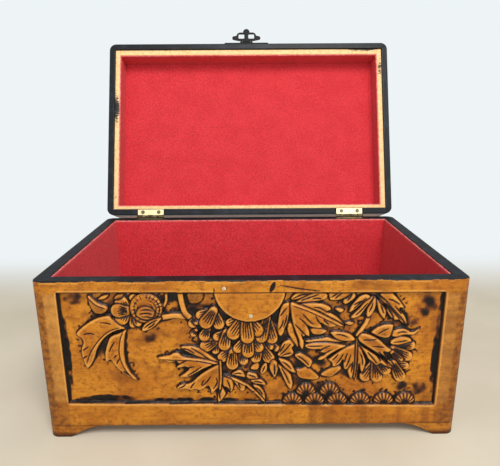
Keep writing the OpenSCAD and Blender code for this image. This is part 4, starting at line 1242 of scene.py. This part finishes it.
def felt():
    """Red felt: matted fibres, a soft nap and a few pale bits of lint."""
    g = Graph("red_felt_nap")
    at = g.grain()
    fibre = g.noise(at, 3.2, 6.0, 0.75, 0.6)
    clumps = g.noise(at, 0.65, 4.0, 0.65)
    broad = g.noise(at, 0.05, 3.0)
    tone = g.mix(g.band(broad, 0.38, 0.62), srgb(200, 34, 46), srgb(209, 42, 53))
    tone = g.mix(g.math("MULTIPLY", g.band(clumps, 0.42, 0.66), 0.75), tone, srgb(158, 18, 30))
    tone = g.mix(g.math("MULTIPLY", g.band(fibre, 0.45, 0.68), 0.75), tone, srgb(238, 104, 106))
    specks = g.math("SUBTRACT", 1.0, g.band(g.cells(at, 0.045), 0.008, 0.016))
    lint = g.math("MULTIPLY", specks, g.band(g.noise(at, 0.02, 2.0), 0.45, 0.6))
    tone = g.mix(g.math("MULTIPLY", lint, 0.75), tone, srgb(240, 190, 185))
    ragged = g.math("MULTIPLY", g.field("edge"), g.span(g.band(g.noise(at, 0.4, 4.0, 0.7), 0.40, 0.60), 0.2,
                                                        0.8))
    tone = g.mix(ragged, tone, srgb(236, 150, 146))
    height = g.math("ADD", g.math("MULTIPLY", fibre, 0.7), g.math("MULTIPLY", clumps, 1.0))
    return g.surface(Base_Color=tone, Roughness=0.95, Normal=g.bump(height, 0.45, 0.8), Sheen_Weight=0.35,
                     Sheen_Roughness=0.45, Sheen_Tint=srgb(255, 150, 150), Specular_IOR_Level=0.2)


def bare_wood():
    """The lid's bare liner strips: pale wood with rubbed black paint and small dents."""
    g = Graph("bare_liner_wood")
    at = g.grain()
    streaks = g.noise(at, 0.5, 4.0, 0.6)
    grain = g.noise(at, 2.4, 4.0, 0.65)
    tone = g.mix(g.band(streaks, 0.35, 0.68), srgb(246, 208, 150), srgb(228, 180, 118))
    tone = g.mix(g.math("MULTIPLY", g.band(grain, 0.55, 0.75), 0.45), tone, srgb(176, 122, 74))
    smear = g.band(g.math("ADD", g.field("smear"), g.noise(at, (0.25, 0.9, 0.9), 4.0, 0.7)), 0.84, 1.0)
    tone = g.mix(smear, tone, srgb(26, 24, 24))
    return g.surface(Base_Color=tone, Roughness=g.span(grain, 0.55, 0.75), Normal=g.bump(grain, 0.15, 0.6))


def brass(name, shaded_within, least_shade):
    """Thin pale plated brass, rubbed and spotted, with painted shade out to a reach round the pivot."""
    g = Graph(name)
    at = g.place()
    cloud = g.noise(at, 0.5, 4.0, 0.6)
    spots = g.band(g.noise(at, 1.6, 3.0, 0.7), 0.58, 0.72)
    tone = g.mix(cloud, srgb(226, 200, 136), srgb(250, 238, 196))
    tone = g.mix(g.math("MULTIPLY", spots, 0.7), tone, srgb(126, 92, 42))
    pivot = (0, LID_PIVOT[1] - 1.5, LID_PIVOT[2] - 1.0)
    from_pivot = g.add("ShaderNodeVectorMath", {0: at, 1: pivot}, operation="SUBTRACT").outputs[0]
    across = g.add("ShaderNodeVectorMath", {0: from_pivot, 1: (0, 1, 1)}, operation="MULTIPLY").outputs[0]
    reach = g.add("ShaderNodeVectorMath", {0: across}, operation="LENGTH").outputs["Value"]
    # Painted shade: the brass turns dark brown near the pivot, where the knuckles lie in shadow; noise makes
    # it uneven.
    pivot_shade = g.band(g.math("SUBTRACT", shaded_within, reach), 0.0, 1.6)
    pivot_shade = g.math("MULTIPLY", pivot_shade, g.span(g.band(g.noise(at, 0.9, 3.0), 0.35, 0.6), least_shade, 1.0))
    tone = g.mix(pivot_shade, tone, srgb(44, 30, 20))
    scratch = g.noise(at, (0.6, 6.0, 6.0), 3.0, 0.6)
    return g.surface(Base_Color=tone, Metallic=0.85, Roughness=g.span(cloud, 0.28, 0.46),
                     Normal=g.bump(scratch, 0.05, 0.5))


def steel():
    """Dull steel of the small screws and nails."""
    g = Graph("dull_steel")
    at = g.place()
    cloud = g.noise(at, 1.2, 4.0, 0.65)
    tone = g.mix(g.band(cloud, 0.40, 0.65), srgb(120, 112, 92), srgb(66, 58, 46))
    return g.surface(Base_Color=tone, Metallic=0.9, Roughness=g.span(cloud, 0.34, 0.52),
                     Normal=g.bump(cloud, 0.06, 0.6))


def bright_nail():
    """The rubbed heads of the two nails left on the front."""
    g = Graph("bright_nail_steel")
    at = g.place()
    cloud = g.noise(at, 1.6, 4.0, 0.65)
    tone = g.mix(g.band(cloud, 0.45, 0.65), srgb(236, 222, 196), srgb(120, 96, 66))
    return g.surface(Base_Color=tone, Metallic=0.8, Roughness=g.span(cloud, 0.30, 0.50),
                     Normal=g.bump(cloud, 0.10, 0.8))


def iron():
    """Blackened iron, browner where it is rubbed."""
    g = Graph("latch_black_iron")
    at = g.place()
    cloud = g.noise(at, 0.7, 4.0, 0.65)
    tone = g.mix(g.band(cloud, 0.45, 0.75), srgb(8, 7, 7), srgb(26, 20, 16))
    return g.surface(Base_Color=tone, Metallic=0.3, Roughness=g.span(cloud, 0.42, 0.62),
                     Normal=g.bump(cloud, 0.08, 0.6), Specular_IOR_Level=0.25)


# ---------------------------------------------------------------- the stage and the camera

CAMERA_AT = (-1.5, -367.2, 220.2)
CAMERA_DOWN, CAMERA_LEFT, CAMERA_ROLL = 15.06, 0.16, 0.35
CAMERA_LENS = 34.02
PALE = srgb(238, 244, 246)


def camera():
    """The photo's viewpoint, just above the box's middle and close in front."""
    data = bpy.data.cameras.new("camera")
    data.lens = CAMERA_LENS
    data.sensor_width = 36
    data.clip_start = 0.01
    piece = bpy.data.objects.new("camera", data)
    turn = Matrix.Rotation(math.radians(-CAMERA_LEFT), 4, "Z")
    tilt = Matrix.Rotation(math.radians(90 - CAMERA_DOWN), 4, "X")
    roll = Matrix.Rotation(math.radians(-CAMERA_ROLL), 4, "Z")
    piece.matrix_world = Matrix.Translation(Vector(CAMERA_AT) * M) @ (turn @ tilt) @ roll
    bpy.context.scene.collection.objects.link(piece)
    bpy.context.scene.camera = piece


def area_light(name, at, look_at, size, power, colour=(1, 1, 1)):
    data = bpy.data.lights.new(name, "AREA")
    data.shape = "RECTANGLE"
    data.size, data.size_y = size
    data.energy = power
    data.color = colour
    light = bpy.data.objects.new(name, data)
    light.location = at
    light.rotation_euler = (Vector(look_at) - Vector(at)).to_track_quat("-Z", "Y").to_euler()
    bpy.context.scene.collection.objects.link(light)


def floor():
    """A plain pale floor that fades into the pale background behind the box and far away."""
    radius, rings, sides = 9000.0, 24, 64
    points, faces = [(0, 0, 0)], []
    for i in range(1, rings + 1):
        r = radius * (i / rings) ** 2.5
        points += [(r * math.cos(t), r * math.sin(t), 0) for t in np.linspace(0, math.tau, sides,
                                                                              endpoint=False)]
    for k in range(sides):
        faces.append([0, 1 + k, 1 + (k + 1) % sides])
    for i in range(rings - 1):
        a, b = 1 + i * sides, 1 + (i + 1) * sides
        for k in range(sides):
            m = (k + 1) % sides
            faces.append([a + k, b + k, b + m, a + m])
    g = Graph("pale_floor")
    at = g.place()
    far = g.band(g.add("ShaderNodeVectorMath", {0: at}, operation="LENGTH").outputs["Value"], 500, 2200)
    behind = g.band(g.add("ShaderNodeSeparateXYZ", {0: at}).outputs[1], 130, 330)
    fade = g.math("MAXIMUM", far, behind)
    tone = g.mix(g.band(g.noise(at, 0.01, 3.0), 0.3, 0.7), srgb(204, 194, 174), srgb(212, 203, 184))
    tone = g.mix(fade, tone, srgb(0, 0, 0))
    g.surface(Base_Color=tone, Roughness=1.0, Specular_IOR_Level=0.0, Emission_Color=PALE,
              Emission_Strength=fade)
    piece = make_piece("floor", points, faces, g.material)


def world():
    """Pale surroundings. What the camera sees directly is brighter than the light they give."""
    tree_world = bpy.data.worlds.new("pale_room")
    bpy.context.scene.world = tree_world
    tree_world.use_nodes = True
    tree = tree_world.node_tree
    tree.nodes.clear()
    out = tree.nodes.new("ShaderNodeOutputWorld")
    seen, given = tree.nodes.new("ShaderNodeBackground"), tree.nodes.new("ShaderNodeBackground")
    seen.inputs[0].default_value = PALE
    given.inputs[0].default_value = (0.93, 0.97, 1.0, 1)
    given.inputs[1].default_value = WORLD_LIGHT
    path, choose = tree.nodes.new("ShaderNodeLightPath"), tree.nodes.new("ShaderNodeMixShader")
    tree.links.new(path.outputs["Is Camera Ray"], choose.inputs[0])
    tree.links.new(given.outputs[0], choose.inputs[1])
    tree.links.new(seen.outputs[0], choose.inputs[2])
    tree.links.new(choose.outputs[0], out.inputs[0])


WORLD_LIGHT = 0.55


def studio():
    bpy.context.scene.view_settings.view_transform = "Standard"
    world()
    floor()
    area_light("key", (0.16, -0.75, 1.05), (0, 0, 0.12), (0.5, 0.45), 11.5, (1.0, 0.98, 0.95))
    area_light("front_fill", (0.1, -1.3, 0.55), (0, 0, 0.12), (1.2, 0.9), 5.0, (1.0, 1.0, 1.0))


# ---------------------------------------------------------------- the pieces


def body_boards(wood):
    common = dict(body="box", thick=BOARD_T, radius=CORNER_R, z0=BOARD_Z0, z1=RIM_Z, material=wood)
    sides = [
        ("front_board", 0, front_carving, {}),
        ("right_board", 1, lambda: side_carving(1), {}),
        ("back_board", 2, back_carving, {"sinks": (-HINGE_X, HINGE_X), "step": 0.62}),
        ("left_board", 3, lambda: side_carving(-1), {}),
    ]
    for node, turn, carving, extra in sides:
        across, along = (BODY_W, BODY_D) if turn % 2 == 0 else (BODY_D, BODY_W)
        piece = frame_board("carved_" + node, turn=turn, width=across, depth=along, carving=carving(),
                            seed=1.0 + turn, **common, **extra)
        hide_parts(node)


def lid_boards(wood, bare):
    for side, turn in SIDES:
        across, along = (LID_W, BODY_D) if turn % 2 == 0 else (BODY_D, LID_W)
        half = across / 2 - STILE
        boss = RAIL_BOSS if side == "front" else 0.0
        sinks = (-HINGE_X + LID_SHIFT, HINGE_X + LID_SHIFT) if side == "back" else ()
        carving = rail_carving(half, boss) if side != "back" else None
        painted = 7.0 if side == "back" else 2.8
        piece = frame_board(f"carved_lid_{side}_rail", "lid", turn, across, along, RAIL_T, CORNER_R, LID_Z0,
                            LID_Z1,
                            carving, wood, sinks=sinks, lid=True, seed=6.0 + turn, paint_drop=painted)
        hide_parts(f"lid_{side}_rail")
        liner(side, bare)
    piece = lid_top("carved_lid_top", "lid", wood)
    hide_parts("lid_top_board")


def liner(side, bare):
    """One bare strip inside the lid, a little rubbed, with old paint along its rail and smeared at places."""
    node = f"lid_liner_{side}"
    low, high = unshifted_box_mm(node)
    outer_x, outer_y = LID_W / 2 - RAIL_T, BODY_D / 2 - RAIL_T

    def smear(points):
        along_rail = np.minimum(outer_x - np.abs(points[:, 0]), outer_y - np.abs(points[:, 1]))
        amount = 0.45 * np.clip(1 - along_rail / 0.9, 0, 1)
        for centre, reach, strength in SMEARS:
            distance = np.linalg.norm((points - centre) / reach, axis=1)
            amount = np.maximum(amount, strength * np.clip(1.3 - distance, 0, 1))
        return amount

    piece = slab(f"{side}_liner_strip", "lid", low, high, "-z", bare, True, step=0.8, soft=0.5, lumps=0.1,
                 fields={"smear": smear})
    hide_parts(node)


# Places in the shut lid, how far each smear reaches along x, y and z, and how strong it is.
SMEARS = [
    ((-134, -22, LID_Z0), (5, 20, 5), 0.7),
    ((116, -83, LID_Z0), (26, 4.5, 5), 0.75),
    ((134, -62, LID_Z0), (5, 16, 5), 0.5),
    ((-134, 70, LID_Z0), (6, 12, 5), 0.35),
]


def felts(red):
    """Every felt piece, glued flat to its board."""
    for side, turn, face in [("front", 0, "+y"), ("right", 1, "-x"), ("back", 2, "-y"), ("left", 3, "+x")]:
        for node, body, lid in [(f"lining_{side}", "box", False), (f"lid_felt_{side}", "lid", True)]:
            low, high = unshifted_box_mm(node) if lid else box_mm(node)
            along = 0 if turn % 2 == 0 else 1
            if along == 1:
                low[1], high[1] = low[1] + FELT_T, high[1] - FELT_T
            cut = low[2] if lid else high[2]
            fields = {"edge": lambda points, cut=cut: smooth(1.3 - np.abs(points[:, 2] - cut) / 0.6)}
            piece = slab("felt_" + node, body, low, high, face, red, lid, fields=fields)
            board = ("lid_liner_" if lid else "") + side + ("" if lid else "_board")
            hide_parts(node)
    for node, body, lid, face, board in [("lining_floor", "box", False, "+z", "bottom_board"),
                                         ("lid_lining_top", "lid", True, "-z", "lid_top_board")]:
        low, high = unshifted_box_mm(node) if lid else box_mm(node)
        piece = slab("felt_" + node, body, low, high, face, red, lid, step=1.3, lumps=0.12)
        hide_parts(node)


def soften(node, width, segments=2):
    """Rounds the sharp edges of a CAD node as it is shown."""
    bevel = frame["nodes"][node].modifiers.new("soft_edges", "BEVEL")
    bevel.width = width * M
    bevel.segments = segments
    bevel.limit_method = "ANGLE"
    bevel.angle_limit = math.radians(35)
    bevel.harden_normals = False


def dress(nodes, material, width):
    for node in nodes:
        for slot in frame["nodes"][node].material_slots:
            slot.material = material
        if width:
            soften(node, width)


def fittings():
    names = list(frame["nodes"])
    dress([n for n in names if n.startswith("foot_")], plain_wood(), 0.7)
    dress(["bottom_board"], plain_wood(), 0.3)
    screws = [n for n in names if n.startswith("hinge_") and n.endswith("_screws")]
    dress(screws, steel(), 0.12)
    lid_leaves = [n for n in names if n.startswith("hinge_lid_leaf")]
    # Both brass materials paint shade round the pivot, over a longer reach on the body's leaves and barrel.
    dress(lid_leaves, brass("hinge_brass_rubbed_pivot_shade", 4.0, 0.72), 0.12)
    others = [n for n in names if n.startswith("hinge_") and n not in screws + lid_leaves]
    dress(others, brass("hinge_brass_pivot_shade", 14.0, 0.80), 0.12)
    dress([n for n in names if n.startswith("latch_")], iron(), 0.15)
    dress(["catch_nails"], bright_nail(), 0.15)


LEAF_W = np.ptp([box_mm("hinge_body_leaf_left")[k][0] for k in (0, 1)])
LEAF_D = BODY_D / 2 - box_mm("hinge_body_leaf_left")[0][1]
HINGE_X = sum(box_mm("hinge_body_leaf_right")[k][0] for k in (0, 1)) / 2
FELT_T = np.ptp([shut_box_mm("lid_felt_left")[k][0] for k in (0, 1)])

camera()
studio()
varnished = carved_wood()
body_boards(varnished)
lid_boards(varnished, bare_wood())
felts(felt())
fittings()
